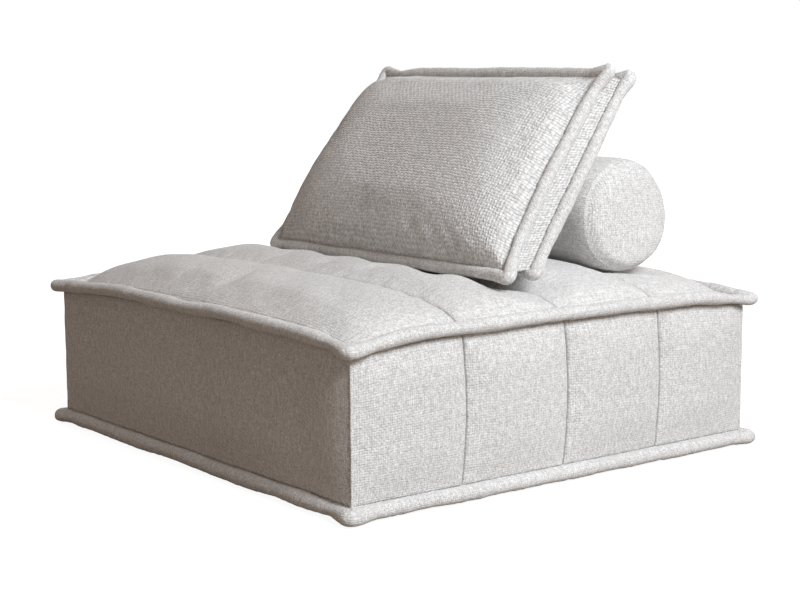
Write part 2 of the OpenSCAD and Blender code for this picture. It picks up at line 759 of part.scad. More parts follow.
module cushion_front_panel() {
    color(cloth) on_cushion() mirror([0, 1, 0])
        cushion_face(0, cushion_h, 0, front_crown, cloth_t);
}
module cushion_rear_panel() {
    color(shade) on_cushion()
        cushion_face(rear_rise, rear_face_h, cushion_t, rear_crown, cloth_t);
}
module cushion_gusset() {
    color(cloth) on_cushion() loft(band_grid(gusset_in), band_grid(gusset_in + gusset_t));
}
module cushion_end_strip_front() {
    color(cloth) on_cushion() end_strip(cushion_roll_r + soft_gap, (cushion_t - zip_slot) / 2);
}
module cushion_end_strip_rear() {
    color(cloth) on_cushion() end_strip((cushion_t + zip_slot) / 2, cushion_t - cushion_roll_r - soft_gap);
}
module cushion_front_roll() { color(cloth) on_cushion() cushion_roll(0, cushion_h, 0); }
module cushion_rear_roll() { color(cloth) on_cushion() cushion_roll(rear_rise, rear_face_h, cushion_t); }
module cushion_fill() {
    // The front and rear grids share their places across, and so close into one solid
    inset = cloth_t + soft_gap;
    side = cushion_roll_r + inset;
    rear = face_grid(rear_rise, rear_face_h, cushion_t, rear_crown, inset, side);
    front = face_grid(0, cushion_h, 0, -front_crown, -inset, side);
    color("white") difference() {
        on_cushion() loft(rear, front);
        on_cushion_end() zip_room(cushion_zip_len);
    }
}
module cushion_zip_tape() { color(shade) on_cushion_end() zip_band(cushion_zip_len); }
module cushion_zip_slider() {
    color(zip_metal) on_cushion_end()
        translate([-slider_rest(cushion_zip_len), 0, 0]) zip_slider_shape();
}
module cushion_zip_puller() {
    color(zip_metal) on_cushion_end()
        translate([-slider_rest(cushion_zip_len), 0, 0]) zip_puller_shape();
}

module bolster_tube() {
    outer = shoulder(0);
    inner = shoulder(cloth_t);
    color(cloth) difference() {
        on_bolster() tube(outer, inner);
        on_bolster_zip() zip_room(bolster_zip_len);
    }
}
module bolster_end() {
    lathe(concat(
        dome(end_seam_r, end_crown),
        [for (k = [1:10]) dome(end_seam_r - cloth_t, end_crown - cloth_t)[10 - k]]));
}
module bolster_right_end() { color(cloth) on_bolster() bolster_end(); }
module bolster_left_end() { color(cloth) on_bolster() mirror([1, 0, 0]) bolster_end(); }
module bolster_fill() {
    inset = cloth_t + soft_gap;
    color("white") difference() {
        on_bolster() both_ways(concat(shoulder(inset), dome(end_seam_r - inset, end_crown - inset)));
        on_bolster_zip() zip_room(bolster_zip_len);
    }
}
module bolster_zip_tape() { color(shade) on_bolster_zip() zip_band(bolster_zip_len); }
module bolster_zip_slider() {
    color(zip_metal) on_bolster_zip()
        translate([-slider_rest(bolster_zip_len), 0, 0]) zip_slider_shape();
}
module bolster_zip_puller() {
    color(zip_metal) on_bolster_zip()
        translate([-slider_rest(bolster_zip_len), 0, 0]) zip_puller_shape();
}

front_rail();
rear_rail();
left_rail();
right_rail();
centre_rail();
cross_rails();
corner_blocks();
frame_screws();
webbing_lengthwise();
webbing_crosswise();
glides();
glide_nails();
dust_cover();
support_foam();
comfort_foam();
side_wadding();
channel_fill(0);  // channel_fill_1
channel_fill(1);  // channel_fill_2
channel_fill(2);  // channel_fill_3
channel_fill(3);  // channel_fill_4
top_channel(0);  // top_channel_1
top_channel(1);  // top_channel_2
top_channel(2);  // top_channel_3
top_channel(3);  // top_channel_4
right_panel(0);  // right_panel_1
right_panel(1);  // right_panel_2
right_panel(2);  // right_panel_3
right_panel(3);  // right_panel_4
left_panel(0);  // left_panel_1
left_panel(1);  // left_panel_2
left_panel(2);  // left_panel_3
left_panel(3);  // left_panel_4
front_panel();
rear_panel_upper();
rear_panel_lower();
rear_zip_patches();
top_roll();
bottom_roll();
seat_zip_tape();
seat_zip_slider();
seat_zip_puller();
cushion_front_panel();
cushion_rear_panel();
cushion_gusset();
cushion_end_strip_front();
cushion_end_strip_rear();
cushion_front_roll();
cushion_rear_roll();
cushion_fill();
cushion_zip_tape();
cushion_zip_slider();
cushion_zip_puller();
bolster_tube();
bolster_left_end();
bolster_right_end();
bolster_fill();
bolster_zip_tape();
bolster_zip_slider();
bolster_zip_puller();
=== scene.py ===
# %% [markdown]
# # A floor sofa in rolled-edge linen
# The sofa is a square seat block with rolled edges and four channels across its top, a box cushion
# that leans back on it, and a bolster behind the cushion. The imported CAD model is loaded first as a
# fixed frame: hard pieces keep their CAD shape and get a finish, while everything sewn or stuffed is
# made again here, because cloth looks like cloth only when it has folds, gathers and a weave.

# %% Load the frame
import math

import bmesh
import bpy
import numpy as np
from mathutils import Matrix, Vector


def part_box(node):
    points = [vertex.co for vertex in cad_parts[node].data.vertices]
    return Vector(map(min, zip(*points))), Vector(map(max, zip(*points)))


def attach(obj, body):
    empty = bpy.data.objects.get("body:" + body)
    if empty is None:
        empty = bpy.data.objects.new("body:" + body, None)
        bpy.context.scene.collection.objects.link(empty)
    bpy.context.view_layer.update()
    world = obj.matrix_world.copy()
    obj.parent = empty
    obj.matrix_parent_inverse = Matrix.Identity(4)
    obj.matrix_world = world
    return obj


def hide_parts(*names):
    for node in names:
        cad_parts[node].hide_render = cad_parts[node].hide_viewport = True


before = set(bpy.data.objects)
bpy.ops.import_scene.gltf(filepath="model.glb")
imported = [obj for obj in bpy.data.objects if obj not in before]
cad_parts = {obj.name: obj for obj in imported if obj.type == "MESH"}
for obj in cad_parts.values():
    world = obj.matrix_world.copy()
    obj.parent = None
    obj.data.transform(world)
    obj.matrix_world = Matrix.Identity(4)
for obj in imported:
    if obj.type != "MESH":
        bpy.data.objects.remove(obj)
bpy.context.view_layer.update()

scene = bpy.context.scene

# %% [markdown]
# ## Camera
# The camera was fitted to the ends of the rolled edges in the photograph. It is written as a turn, a
# height and a roll, and as how far the eye stands from the frame's origin along and across its view.
# A matrix built from the three view directions avoids any mistake with the order of Euler angles.

# %% Camera
VIEW_TURN, VIEW_HEIGHT, VIEW_ROLL = map(math.radians, (52.64, 7.96, -0.32))
EYE_ALONG, EYE_RIGHT, EYE_UP = 3.1834, 0.015525, 0.254375
LENS_PIXELS, IMAGE_WIDTH, SENSOR = 1662.4, 800, 36


def placed(name, data):
    made = bpy.data.objects.new(name, data)
    scene.collection.objects.link(made)
    return made


back = Vector((math.sin(VIEW_TURN) * math.cos(VIEW_HEIGHT),
               -math.cos(VIEW_TURN) * math.cos(VIEW_HEIGHT),
               math.sin(VIEW_HEIGHT)))
level = Vector((math.cos(VIEW_TURN), math.sin(VIEW_TURN), 0))
upright = back.cross(level)
right = level * math.cos(VIEW_ROLL) + upright * math.sin(VIEW_ROLL)
up = upright * math.cos(VIEW_ROLL) - level * math.sin(VIEW_ROLL)

camera = placed("camera", bpy.data.cameras.new("camera"))
eye = back * EYE_ALONG + right * EYE_RIGHT + up * EYE_UP
camera.matrix_world = Matrix.Translation(eye) @ Matrix((right, up, back)).transposed().to_4x4()
camera.data.sensor_width, camera.data.lens = SENSOR, LENS_PIXELS * SENSOR / IMAGE_WIDTH
camera.data.clip_start, camera.data.clip_end = 0.05, 60
scene.camera = camera
print("eye", [round(v, 3) for v in eye], "lens", round(camera.data.lens, 1))

# %% [markdown]
# ## Light
# One broad lamp hangs to the right, as a window does: the right side is nearly white, the top is half
# lit and fades away from the lamp, and the front is left to the fill. A weak lamp behind on the left
# keeps the hidden sides readable. The levels are low enough that pale linen doesn't clip. The floor
# and the world look white to the camera, and give the linen the warmer, weaker light of a room.

# %% Node helpers
def feed(tree, made, inputs):
    """Gives sockets, by name or number, their values or the outputs linked to them."""
    for key, value in inputs.items():
        if isinstance(value, bpy.types.NodeSocket):
            tree.links.new(value, made.inputs[key])
        elif value is not None:
            made.inputs[key].default_value = value
    return made


def put(tree, kind, inputs=None, **settings):
    made = tree.nodes.new(kind)
    for key, value in settings.items():
        setattr(made, key, value)
    return feed(tree, made, inputs or {})


def calc(tree, operation, a, b=None):
    return put(tree, "ShaderNodeMath", {0: a, 1: b}, operation=operation).outputs[0]


def ramp(tree, value, low, high, to_low=0.0, to_high=1.0):
    limits = {"From Min": low, "From Max": high, "To Min": to_low, "To Max": to_high}
    return put(tree, "ShaderNodeMapRange", {"Value": value, **limits}).outputs["Result"]


def mixed(tree, factor, a, b, mode="MIX"):
    a, b = ((*c, 1) if isinstance(c, tuple) else c for c in (a, b))
    return put(tree, "ShaderNodeMix", {0: factor, 6: a, 7: b}, data_type="RGBA", blend_type=mode).outputs[2]


def shaders_mixed(tree, factor, a, b):
    return put(tree, "ShaderNodeMixShader", {0: factor, 1: a.outputs[0], 2: b.outputs[0]})


def cleared(owner):
    owner.use_nodes = True
    owner.node_tree.nodes.clear()
    return owner.node_tree


# %% Lamps
def lamp(name, kind, toward, place=(0, 0, 0), **settings):
    made = placed(name, bpy.data.lights.new(name, kind))
    made.location, made.rotation_mode = place, "QUATERNION"
    made.rotation_quaternion = Vector(toward).to_track_quat("Z", "Y")
    made.visible_camera = False
    for key, value in settings.items():
        setattr(made.data, key, value)


WINDOW_AT, WINDOW_AIM = Vector((3.2, -0.06, 2.49)), Vector((0, 0, 0.3))
lamp("window", "AREA", WINDOW_AT - WINDOW_AIM, WINDOW_AT, shape="DISK", size=1.6, energy=148,
     color=(0.90, 0.95, 1.0))
lamp("rear_fill", "SUN", (-0.6, 0.78, 0.18), energy=0.85, angle=math.radians(40))

# %% World and floor
ROOM_LEVEL, ROOM_TINT, WHITE = 0.24, (1.0, 0.80, 0.66, 1), (1, 1, 1, 1)
FLOOR_BOUNCE, FLOOR_SEEN, FLOOR_GLOW = (0.31, 0.26, 0.217, 1), (0.95, 0.95, 0.95, 1), 1.24
FLOOR_HALF, WHITER_FROM, WHITER_TO, LEAST_GLOW = 12, 1.0, 3.5, 0.75


def straight_rays(tree):
    """One where the camera, a reflection or a refraction looks, else nought."""
    path = put(tree, "ShaderNodeLightPath").outputs
    either = calc(tree, "MAXIMUM", path["Is Camera Ray"], path["Is Glossy Ray"])
    return calc(tree, "MAXIMUM", either, path["Is Transmission Ray"])


scene.world = bpy.data.worlds.new("studio")
tree = cleared(scene.world)
room = put(tree, "ShaderNodeBackground", {"Color": ROOM_TINT, "Strength": ROOM_LEVEL})
seen = put(tree, "ShaderNodeBackground", {"Color": WHITE, "Strength": 1.0})
both = shaders_mixed(tree, straight_rays(tree), room, seen)
put(tree, "ShaderNodeOutputWorld", {"Surface": both.outputs[0]})

floor_mesh = bpy.data.meshes.new("floor")
floor_mesh.from_pydata([(x * FLOOR_HALF, y * FLOOR_HALF, 0) for x, y in ((-1, -1), (1, -1), (1, 1), (-1, 1))],
                       [], [(0, 1, 2, 3)])
floor = placed("floor", floor_mesh)
floor_look = bpy.data.materials.new("floor")
tree = cleared(floor_look)
matt = put(tree, "ShaderNodeBsdfDiffuse", {"Color": FLOOR_BOUNCE})
pale = put(tree, "ShaderNodeBsdfDiffuse", {"Color": FLOOR_SEEN})
glow = put(tree, "ShaderNodeEmission", {"Strength": FLOOR_GLOW})
here = put(tree, "ShaderNodeTexCoord").outputs["Object"]
far = put(tree, "ShaderNodeVectorMath", {0: here}, operation="LENGTH").outputs["Value"]
lit = shaders_mixed(tree, ramp(tree, far, WHITER_FROM, WHITER_TO, LEAST_GLOW, 1.0), pale, glow)
both = shaders_mixed(tree, straight_rays(tree), matt, lit)
put(tree, "ShaderNodeOutputMaterial", {"Surface": both.outputs[0]})
floor_mesh.materials.append(floor_look)
scene.view_settings.view_transform = "Standard"
print("floor and world ready")

# %% [markdown]
# ## Linen
# The cover is a coarse slub linen: pale and brown-grey yarns of uneven thickness in a plain weave.
# An image would be the quick way, but the weave has to follow each cushion, so it is computed from a
# UV map that every sewn piece carries in metres along its threads. Yarn thickness, yarn colour and
# slubs are noises stretched along the yarn; the same heights drive the bump.

# %% Woven cloth
def new_material(name):
    made = bpy.data.materials.new(name)
    tree = cleared(made)
    shader = put(tree, "ShaderNodeBsdfPrincipled")
    put(tree, "ShaderNodeOutputMaterial", {"Surface": shader.outputs[0]})
    return made, tree, shader


def raise_relief(tree, shader, height, relief, strength):
    bump = put(tree, "ShaderNodeBump", {"Strength": strength, "Distance": relief, "Height": height})
    feed(tree, shader, {"Normal": bump.outputs[0]})


def woven(name, pale, dark, pitch, relief, hollow_shade, seed):
    """A plain weave on the UV map, with its threads pitch metres apart. The pair after relief is painted
    shade and light at the scale of the threads: how dark the hollows between threads are, and how pale
    their tops."""
    made, tree, shader = new_material(name)
    add, minus, times = (lambda a, b, op=op: calc(tree, op, a, b) for op in ("ADD", "SUBTRACT", "MULTIPLY"))

    def noise(u, v, scale_u, scale_v, detail, more):
        """Noise that changes scale_u times a metre along u and scale_v times a metre along v."""
        place = put(tree, "ShaderNodeCombineXYZ", {0: times(u, scale_u), 1: times(v, scale_v), 2: seed + more})
        inputs = {"Scale": 1.0, "Detail": detail, "Vector": place.outputs[0]}
        return put(tree, "ShaderNodeTexNoise", inputs).outputs["Fac"]

    uv = put(tree, "ShaderNodeUVMap", uv_map="weave").outputs[0]
    across, along, _ = put(tree, "ShaderNodeSeparateXYZ", {0: uv}).outputs
    drift = times(minus(noise(across, along, 30, 30, 2, 0), 0.5), 1.6 * pitch)
    u, v = add(across, drift), add(along, drift)
    threads = 1 / pitch
    warp_thick, weft_thick = noise(u, v, threads, 45, 2, 3), noise(u, v, 45, threads, 2, 7)
    warp_wave, weft_wave = (calc(tree, "SINE", times(w, math.pi * threads)) for w in (u, v))
    lies_over = ramp(tree, times(warp_wave, weft_wave), -0.35, 0.35)
    lies_under = minus(1.0, lies_over)
    warp = times(calc(tree, "ABSOLUTE", warp_wave), ramp(tree, warp_thick, 0.2, 0.8, 0.65, 1.4))
    weft = times(calc(tree, "ABSOLUTE", weft_wave), ramp(tree, weft_thick, 0.2, 0.8, 0.4, 0.85))
    fibre = noise(u, v, 2.4 * threads, 2.4 * threads, 2, 11)
    height = add(add(times(warp, lies_over), times(weft, lies_under)), times(fibre, 0.45))

    warp_tone, weft_tone = noise(u, v, 0.8 * threads, 80, 2, 17), noise(u, v, 80, 0.8 * threads, 2, 23)
    streak = noise(u, v, 0.7 * threads, 55, 3, 29)
    speckle = noise(u, v, 1.1 * threads, 1.1 * threads, 2, 37)
    broad = noise(across, along, 4, 4, 3, 31)
    tone = add(times(warp_tone, lies_over), times(weft_tone, lies_under))
    tone = add(times(tone, 0.35), times(streak, 0.25))
    tone = add(tone, times(speckle, 0.4))
    tone = add(tone, times(minus(broad, 0.5), 0.08))
    colour = mixed(tree, ramp(tree, tone, 0.40, 0.60), dark, pale)
    # Painted shade and light: a ramp of the thread height darkens the colour in the hollows between threads and
    # lightens it on their tops.
    colour = mixed(tree, 1.0, colour, ramp(tree, height, 0.15, 0.85, *hollow_shade), "MULTIPLY")
    # Painted shade: near a seam the colour is drawn towards 0.3 of the pale yarn, a dark line standing in for the
    # shadow in the seam's groove.
    seam = put(tree, "ShaderNodeAttribute", attribute_name="seam").outputs["Fac"]
    colour = mixed(tree, seam, colour, tuple(0.30 * c for c in pale))
    feed(tree, shader, {"Base Color": colour, "Roughness": ramp(tree, height, 0.2, 1.1, 0.97, 0.82),
                        "Specular IOR Level": 0.18, "Sheen Weight": 0.25, "Sheen Roughness": 0.6})
    raise_relief(tree, shader, height, relief, 0.9)
    return made


LINEN_PALE, LINEN_DARK = (0.90, 0.89, 0.88), (0.57, 0.555, 0.54)
linen = woven("slub_linen", LINEN_PALE, LINEN_DARK, pitch=0.0040, relief=0.0011, hollow_shade=(0.78, 1.05), seed=0)
ribbed = woven("slub_linen_cushion", LINEN_PALE, LINEN_DARK, pitch=0.0056, relief=0.0019, hollow_shade=(0.58, 1.08), seed=50)
print("cloth:", linen.name, ribbed.name)

# %% [markdown]
# ## Shapes that sewn pieces share
# The seat's top and the cushion's faces swell from their seams. The rule is the one that the CAD
# solids use, so the cloth made here lies on the frame. Gathers are sums of waves with seeded phases:
# they repeat exactly on every run, and they close where a seam runs all the way round.

# %% Measures of the seat
HALF_W, HALF_D = 0.480, 0.440
ROLL_OFF, SEAT_ROLL_R = 0.006, 0.014
SEAM_LOW, SEAM_HIGH, TOP_ROLL_Z, LOW_ROLL_Z = 0.0278, 0.2608, 0.2726, 0.016
EDGE_BOW, SEAT_CROWN, CHANNEL_SINK = 0.014, 0.072, 0.014
TOP_HW, TOP_HD, FILL_Z = 0.4757, 0.4357, 0.2528
PANEL_T, EAR_OUT, ZIP_Z, ZIP_SLOT = 0.004, 0.009, 0.066, 0.010

# %% Measures of the cushion and the bolster
CUSHION_AT = np.array([0.058, -0.066, 0.346412])
LEAN = math.radians(37.6)
BOTTOM_W, TOP_W, CUSHION_H, CUSHION_T = 0.704, 0.639, 0.426, 0.047
REAR_RISE, REAR_H = 0.038, 0.410
FRONT_CROWN, REAR_CROWN, CUSHION_ROLL_R = 0.070, 0.078, 0.011
CUSHION_PRESS, FOOT_MID, FOOT_REACH = 0.022, -0.0163, 0.0692
BOLSTER_R, BOLSTER_LEN, BOLSTER_X, BOLSTER_Y, BOLSTER_Z = 0.104, 0.640, 0.038, 0.282622, 0.423289
BOLSTER_PRESS, PRESS_Y, HOLLOW_REACH, HOLLOW_HALF = 0.024, 0.295034, 0.344, 0.06448
END_CROWN, END_ROUND, END_SEAM_IN = 0.024, 0.036, 0.007

# %% Rules for swelling and gathers
CHANNEL_EDGES = np.array([-TOP_HD, -HALF_D / 2, 0, HALF_D / 2, TOP_HD])


def bell(distance, width):
    return np.exp(-((distance / width) ** 2))


def swell(u, v):
    return np.sqrt(np.clip((1 - u**4) * (1 - v**4), 0, None))


def bump_of(a, b):
    return np.exp(-np.abs(a) ** 8 - np.abs(b) ** 4)


def side_rise(s):
    return EDGE_BOW * (1 - np.minimum(1, s**4))


def pressed(x, y):
    """How far the cushion's foot and the bolster press the seat's top down."""
    foot = CUSHION_PRESS * bump_of((x - CUSHION_AT[0]) / (BOTTOM_W / 2), (y - FOOT_MID) / FOOT_REACH)
    return np.maximum(foot, BOLSTER_PRESS * bump_of((x - BOLSTER_X) / HOLLOW_REACH, (y - PRESS_Y) / HOLLOW_HALF))


def top_z(x, y):
    """The height of the seat's top, as the CAD has it."""
    u, v = np.clip(x / TOP_HW, -1, 1), np.clip(y / TOP_HD, -1, 1)
    k = np.clip(np.searchsorted(CHANNEL_EDGES, y, side="right") - 1, 0, 3)
    s = (2 * y - CHANNEL_EDGES[k] - CHANNEL_EDGES[k + 1]) / (CHANNEL_EDGES[k + 1] - CHANNEL_EDGES[k])
    rise = SEAT_CROWN - CHANNEL_SINK * np.abs(s) ** 3 - pressed(x, y)
    return SEAM_HIGH + side_rise(u * v) + swell(u, v) * rise


def waves(t, length, shortest, longest, seed, count=14):
    """A wave of about unit height along t that repeats after length."""
    chance = np.random.RandomState(seed)
    total = np.zeros_like(t)
    for _ in range(count):
        size = shortest * (longest / shortest) ** chance.rand()
        turns = max(1, round(length / size))
        total += np.sin(2 * np.pi * (turns * t / length + chance.rand()))
    return total / math.sqrt(count / 2)


print("middle of the seat's top", round(float(top_z(np.array(0.0), np.array(-0.11))), 4))

# %% Mesh helpers
NEAR_SEAM = np.array([0.0012, 0.0026, 0.005])


def smooth_object(name, points, faces, material, uvs):
    """A new piece at the origin, its faces turned outwards. uvs holds a place in metres for each point,
    or else for each corner of each face."""
    points, uvs = np.asarray(points, float), np.asarray(uvs, float)
    if len(uvs) == len(points):
        uvs = uvs[[i for f in faces for i in f]]
    mesh = bpy.data.meshes.new(name)
    mesh.from_pydata(points.tolist(), [], [tuple(map(int, f)) for f in faces])
    mesh.materials.append(material)
    mesh.uv_layers.new(name="weave").data.foreach_set("uv", uvs.reshape(-1))
    mesh.polygons.foreach_set("use_smooth", [True] * len(mesh.polygons))
    work = bmesh.new()
    work.from_mesh(mesh)
    bmesh.ops.recalc_face_normals(work, faces=work.faces)
    work.to_mesh(mesh)
    work.free()
    return placed(name, mesh)


def settle(made, body, slot, *replaced, fill=None):
    """Attaches a piece to the body it moves with, and hides the CAD nodes that it stands for. slot,
    the finish it should take, and fill, how full it is, are not used.
    """
    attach(made, body)
    if replaced:
        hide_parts(*replaced)


def paint_seam_shade(obj, distance, reach=0.0013):
    """Stores how close each point is to a seam, for a dark line of painted shade there, standing in for the shadow in
    the seam's groove.
    """
    layer = obj.data.attributes.new("seam", "FLOAT", "POINT")
    layer.data.foreach_set("value", bell(np.asarray(distance, float), reach))


def grid_faces(rows, cols, closed_rows=False, closed_cols=False):
    faces = []
    for i in range(rows if closed_rows else rows - 1):
        for j in range(cols if closed_cols else cols - 1):
            k, l = (i + 1) % rows, (j + 1) % cols
            faces.append((i * cols + j, k * cols + j, k * cols + l, i * cols + l))
    return faces


def rim_of(rows, cols):
    """The points round the border of a grid, in order."""
    return ([i * cols for i in range(rows)] + [(rows - 1) * cols + j for j in range(1, cols)]
            + [i * cols + cols - 1 for i in range(rows - 2, -1, -1)] + [j for j in range(cols - 2, 0, -1)])


def spaced(low, high, step):
    return np.linspace(low, high, max(2, int(round((high - low) / step)) + 1))


def across_seams(marks, step, length=1.0):
    """Places from the first mark to the last, in shares of length, closer together beside each mark."""
    near = NEAR_SEAM / length
    found = [marks[:1]]
    for low, high in zip(marks, marks[1:]):
        inner = spaced(low + near[-1], high - near[-1], step / length)
        found += [low + near[:-1], inner, high - near[-2::-1], [high]]
    return np.concatenate(found)


def evaluated_mesh(obj):
    return bpy.data.meshes.new_from_object(obj.evaluated_get(bpy.context.evaluated_depsgraph_get()))


def soften(obj):
    """Subdivides a piece once and keeps the result as its own mesh."""
    finer = obj.modifiers.new("finer", "SUBSURF")
    finer.levels = finer.render_levels = 1
    fine = evaluated_mesh(obj)
    obj.modifiers.clear()
    obj.data = fine


def close_below(obj, level):
    """Takes the open rim of a piece straight down to a level and closes it there."""
    work = bmesh.new()
    work.from_mesh(obj.data)
    layer = work.loops.layers.uv["weave"]
    rim = [e for e in work.edges if e.is_boundary]
    made = bmesh.ops.extrude_edge_only(work, edges=rim)["geom"]
    for v in made:
        if isinstance(v, bmesh.types.BMVert):
            v.co.z = level
    bmesh.ops.holes_fill(work, edges=[e for e in made if isinstance(e, bmesh.types.BMEdge)], sides=0)
    bmesh.ops.recalc_face_normals(work, faces=work.faces)
    for face in work.faces:
        if not face.smooth or face.normal.z < -0.5 or abs(face.normal.z) < 0.01:
            for loop in face.loops:
                loop[layer].uv = loop.vert.co.xy
    work.to_mesh(obj.data)
    work.free()


# %% Inflating cloth
CLOTH_QUALITY, CLOTH_MASS, CLOTH_STIFF = 6, 0.3, 15.0


def evened(obj, values, held, rounds):
    """Averages values over neighbouring points a few times, and leaves sewn points alone."""
    edges = np.empty(len(obj.data.edges) * 2, dtype=int)
    obj.data.edges.foreach_get("vertices", edges)
    a, b = edges.reshape(-1, 2).T
    links = np.bincount(np.concatenate([a, b]), minlength=len(values))[:, None]
    free = (np.asarray(held) < 1)[:, None]
    for _ in range(rounds):
        total = np.zeros_like(values)
        np.add.at(total, a, values[b])
        np.add.at(total, b, values[a])
        values = np.where(free, 0.5 * values + 0.5 * total / np.maximum(links, 1), values)
    return values


def vertex_values(mesh, key):
    values = np.empty(len(mesh.vertices) * 3)
    mesh.vertices.foreach_get(key, values)
    return values.reshape(-1, 3)


def inflate(obj, held, pressure, most, grow, frames=20, bend=0.5, sink=0.001, calm=2):
    """Blows a piece up as cloth. held gives 0 (free) to 1 (sewn down) for each point. No point moves
    further than most, or further than sink into the filling. calm evens the movement out where the
    cloth has buckled. No Cloth modifier is left."""
    rest, normals = vertex_values(obj.data, "co"), vertex_values(obj.data, "normal")
    group = obj.vertex_groups.new(name="sewn")
    for weight in sorted(set(np.round(held, 2))):
        if weight > 0:
            group.add([int(i) for i in np.where(np.round(held, 2) == weight)[0]], float(weight), "REPLACE")
    cloth = obj.modifiers.new("cloth", "CLOTH")
    settings = cloth.settings
    settings.quality, settings.mass = CLOTH_QUALITY, CLOTH_MASS
    settings.tension_stiffness = settings.compression_stiffness = CLOTH_STIFF
    settings.shear_stiffness, settings.bending_stiffness = CLOTH_STIFF / 2, bend
    settings.use_pressure, settings.uniform_pressure_force = True, pressure
    settings.vertex_group_mass, settings.shrink_min = "sewn", -grow
    settings.effector_weights.gravity = 0
    cloth.collision_settings.use_collision = False
    cloth.point_cache.frame_start, cloth.point_cache.frame_end = 1, frames
    for step in range(1, frames + 1):
        scene.frame_set(step)
    shift = vertex_values(obj.evaluated_get(bpy.context.evaluated_depsgraph_get()).data, "co") - rest
    inward = -(shift * normals).sum(1)
    shift = evened(obj, shift + np.maximum(0, inward - sink)[:, None] * normals, held, calm)
    size = np.linalg.norm(shift, axis=1, keepdims=True)
    shift *= np.minimum(1, most / np.maximum(size, 1e-9))
    obj.modifiers.remove(cloth)
    scene.frame_set(1)
    obj.data.vertices.foreach_set("co", (rest + shift).reshape(-1))
    obj.data.update()
    obj.vertex_groups.clear()
    print(obj.name, "inflated, most", round(float(size.max()) * 1000, 1), "mm, mean",
          round(float(size.mean()) * 1000, 1), "mm")


# %% [markdown]
# ## Seat top
# One piece of cloth over four filled channels, sunk along three seams. A grid that follows the CAD
# rule is sewn down along its rim and its seams and blown up as cloth, so the fabric gathers beside
# each seam by itself. Its underside is closed flat, because a cushion is a closed form.

# %% Seat top
STEP = 0.0075


def open_grid(name, xs, ys, height, material):
    """A grid with height(x, y), its UV the place itself. Gives also its places."""
    x, y = np.meshgrid(xs, ys, indexing="ij")
    points = np.stack([x, y, height(x, y)], -1).reshape(-1, 3)
    made = smooth_object(name, points, grid_faces(*x.shape), material, points[:, :2])
    return made, x.reshape(-1), y.reshape(-1)


def crease(distance, depth=0.005, reach=0.0019):
    return depth * bell(distance, reach)


def seat_cover_z(x, y):
    """The CAD rule, with a sharp line at each seam and light gathers beside seams and rim."""
    seam = np.min(np.abs(y[..., None] - CHANNEL_EDGES[1:4]), axis=-1)
    from_side, from_end = TOP_HW - np.abs(x), TOP_HD - np.abs(y)
    rim = np.minimum(from_side, from_end)
    room = np.clip(rim / 0.03, 0, 1)
    across = waves(x + 0.02 * np.sin(9 * y), 0.95, 0.02, 0.06, 61) * bell(seam - 0.012, 0.010)
    at_rim = waves(np.where(from_side < from_end, y, x), 0.95, 0.018, 0.05, 62) * bell(rim - 0.012, 0.010)
    slow = waves(x, 0.95, 0.12, 0.4, 63) * waves(y, 0.87, 0.10, 0.3, 64)
    return (top_z(x, y) - crease(seam) * (0.35 + 0.65 * room) + 0.0007 * room * across + 0.0006 * at_rim
            + 0.0008 * room * slow)


seat_xs, seat_ys = spaced(-TOP_HW, TOP_HW, STEP), across_seams(CHANNEL_EDGES, STEP)
seat_top, gx, gy = open_grid("seat_top", seat_xs, seat_ys, seat_cover_z, linen)
from_seam = np.min(np.abs(gy[:, None] - CHANNEL_EDGES[1:4]), axis=1)
# Painted shade along the top's three seams.
paint_seam_shade(seat_top, from_seam)
held = np.clip(pressed(gx, gy) / 0.012, 0, 1) * 0.9
held[rim_of(len(seat_xs), len(seat_ys))] = 1
held[from_seam < 0.002] = 1
inflate(seat_top, held, pressure=1.3, most=0.006, grow=0.008)
soften(seat_top)
close_below(seat_top, FILL_Z)
settle(seat_top, "seat", "linen", *[f"{kind}_{k}" for kind in ("top_channel", "channel_fill") for k in (1, 2, 3, 4)],
       fill=0.8)

# %% [markdown]
# ## Seat sides
# Each side is quilted flat over the wadding. The right and left sides have three upright seams, the
# front has none. A side is a grid between two seams of the block, held along its border and seams.

# %% Seat sides
SIDE_SEAMS, SEAM_BOW, SIDE_STEP, LEAST_QUILTED = [0.25, 0.5, 0.75], 0.010, 0.008, 0.05


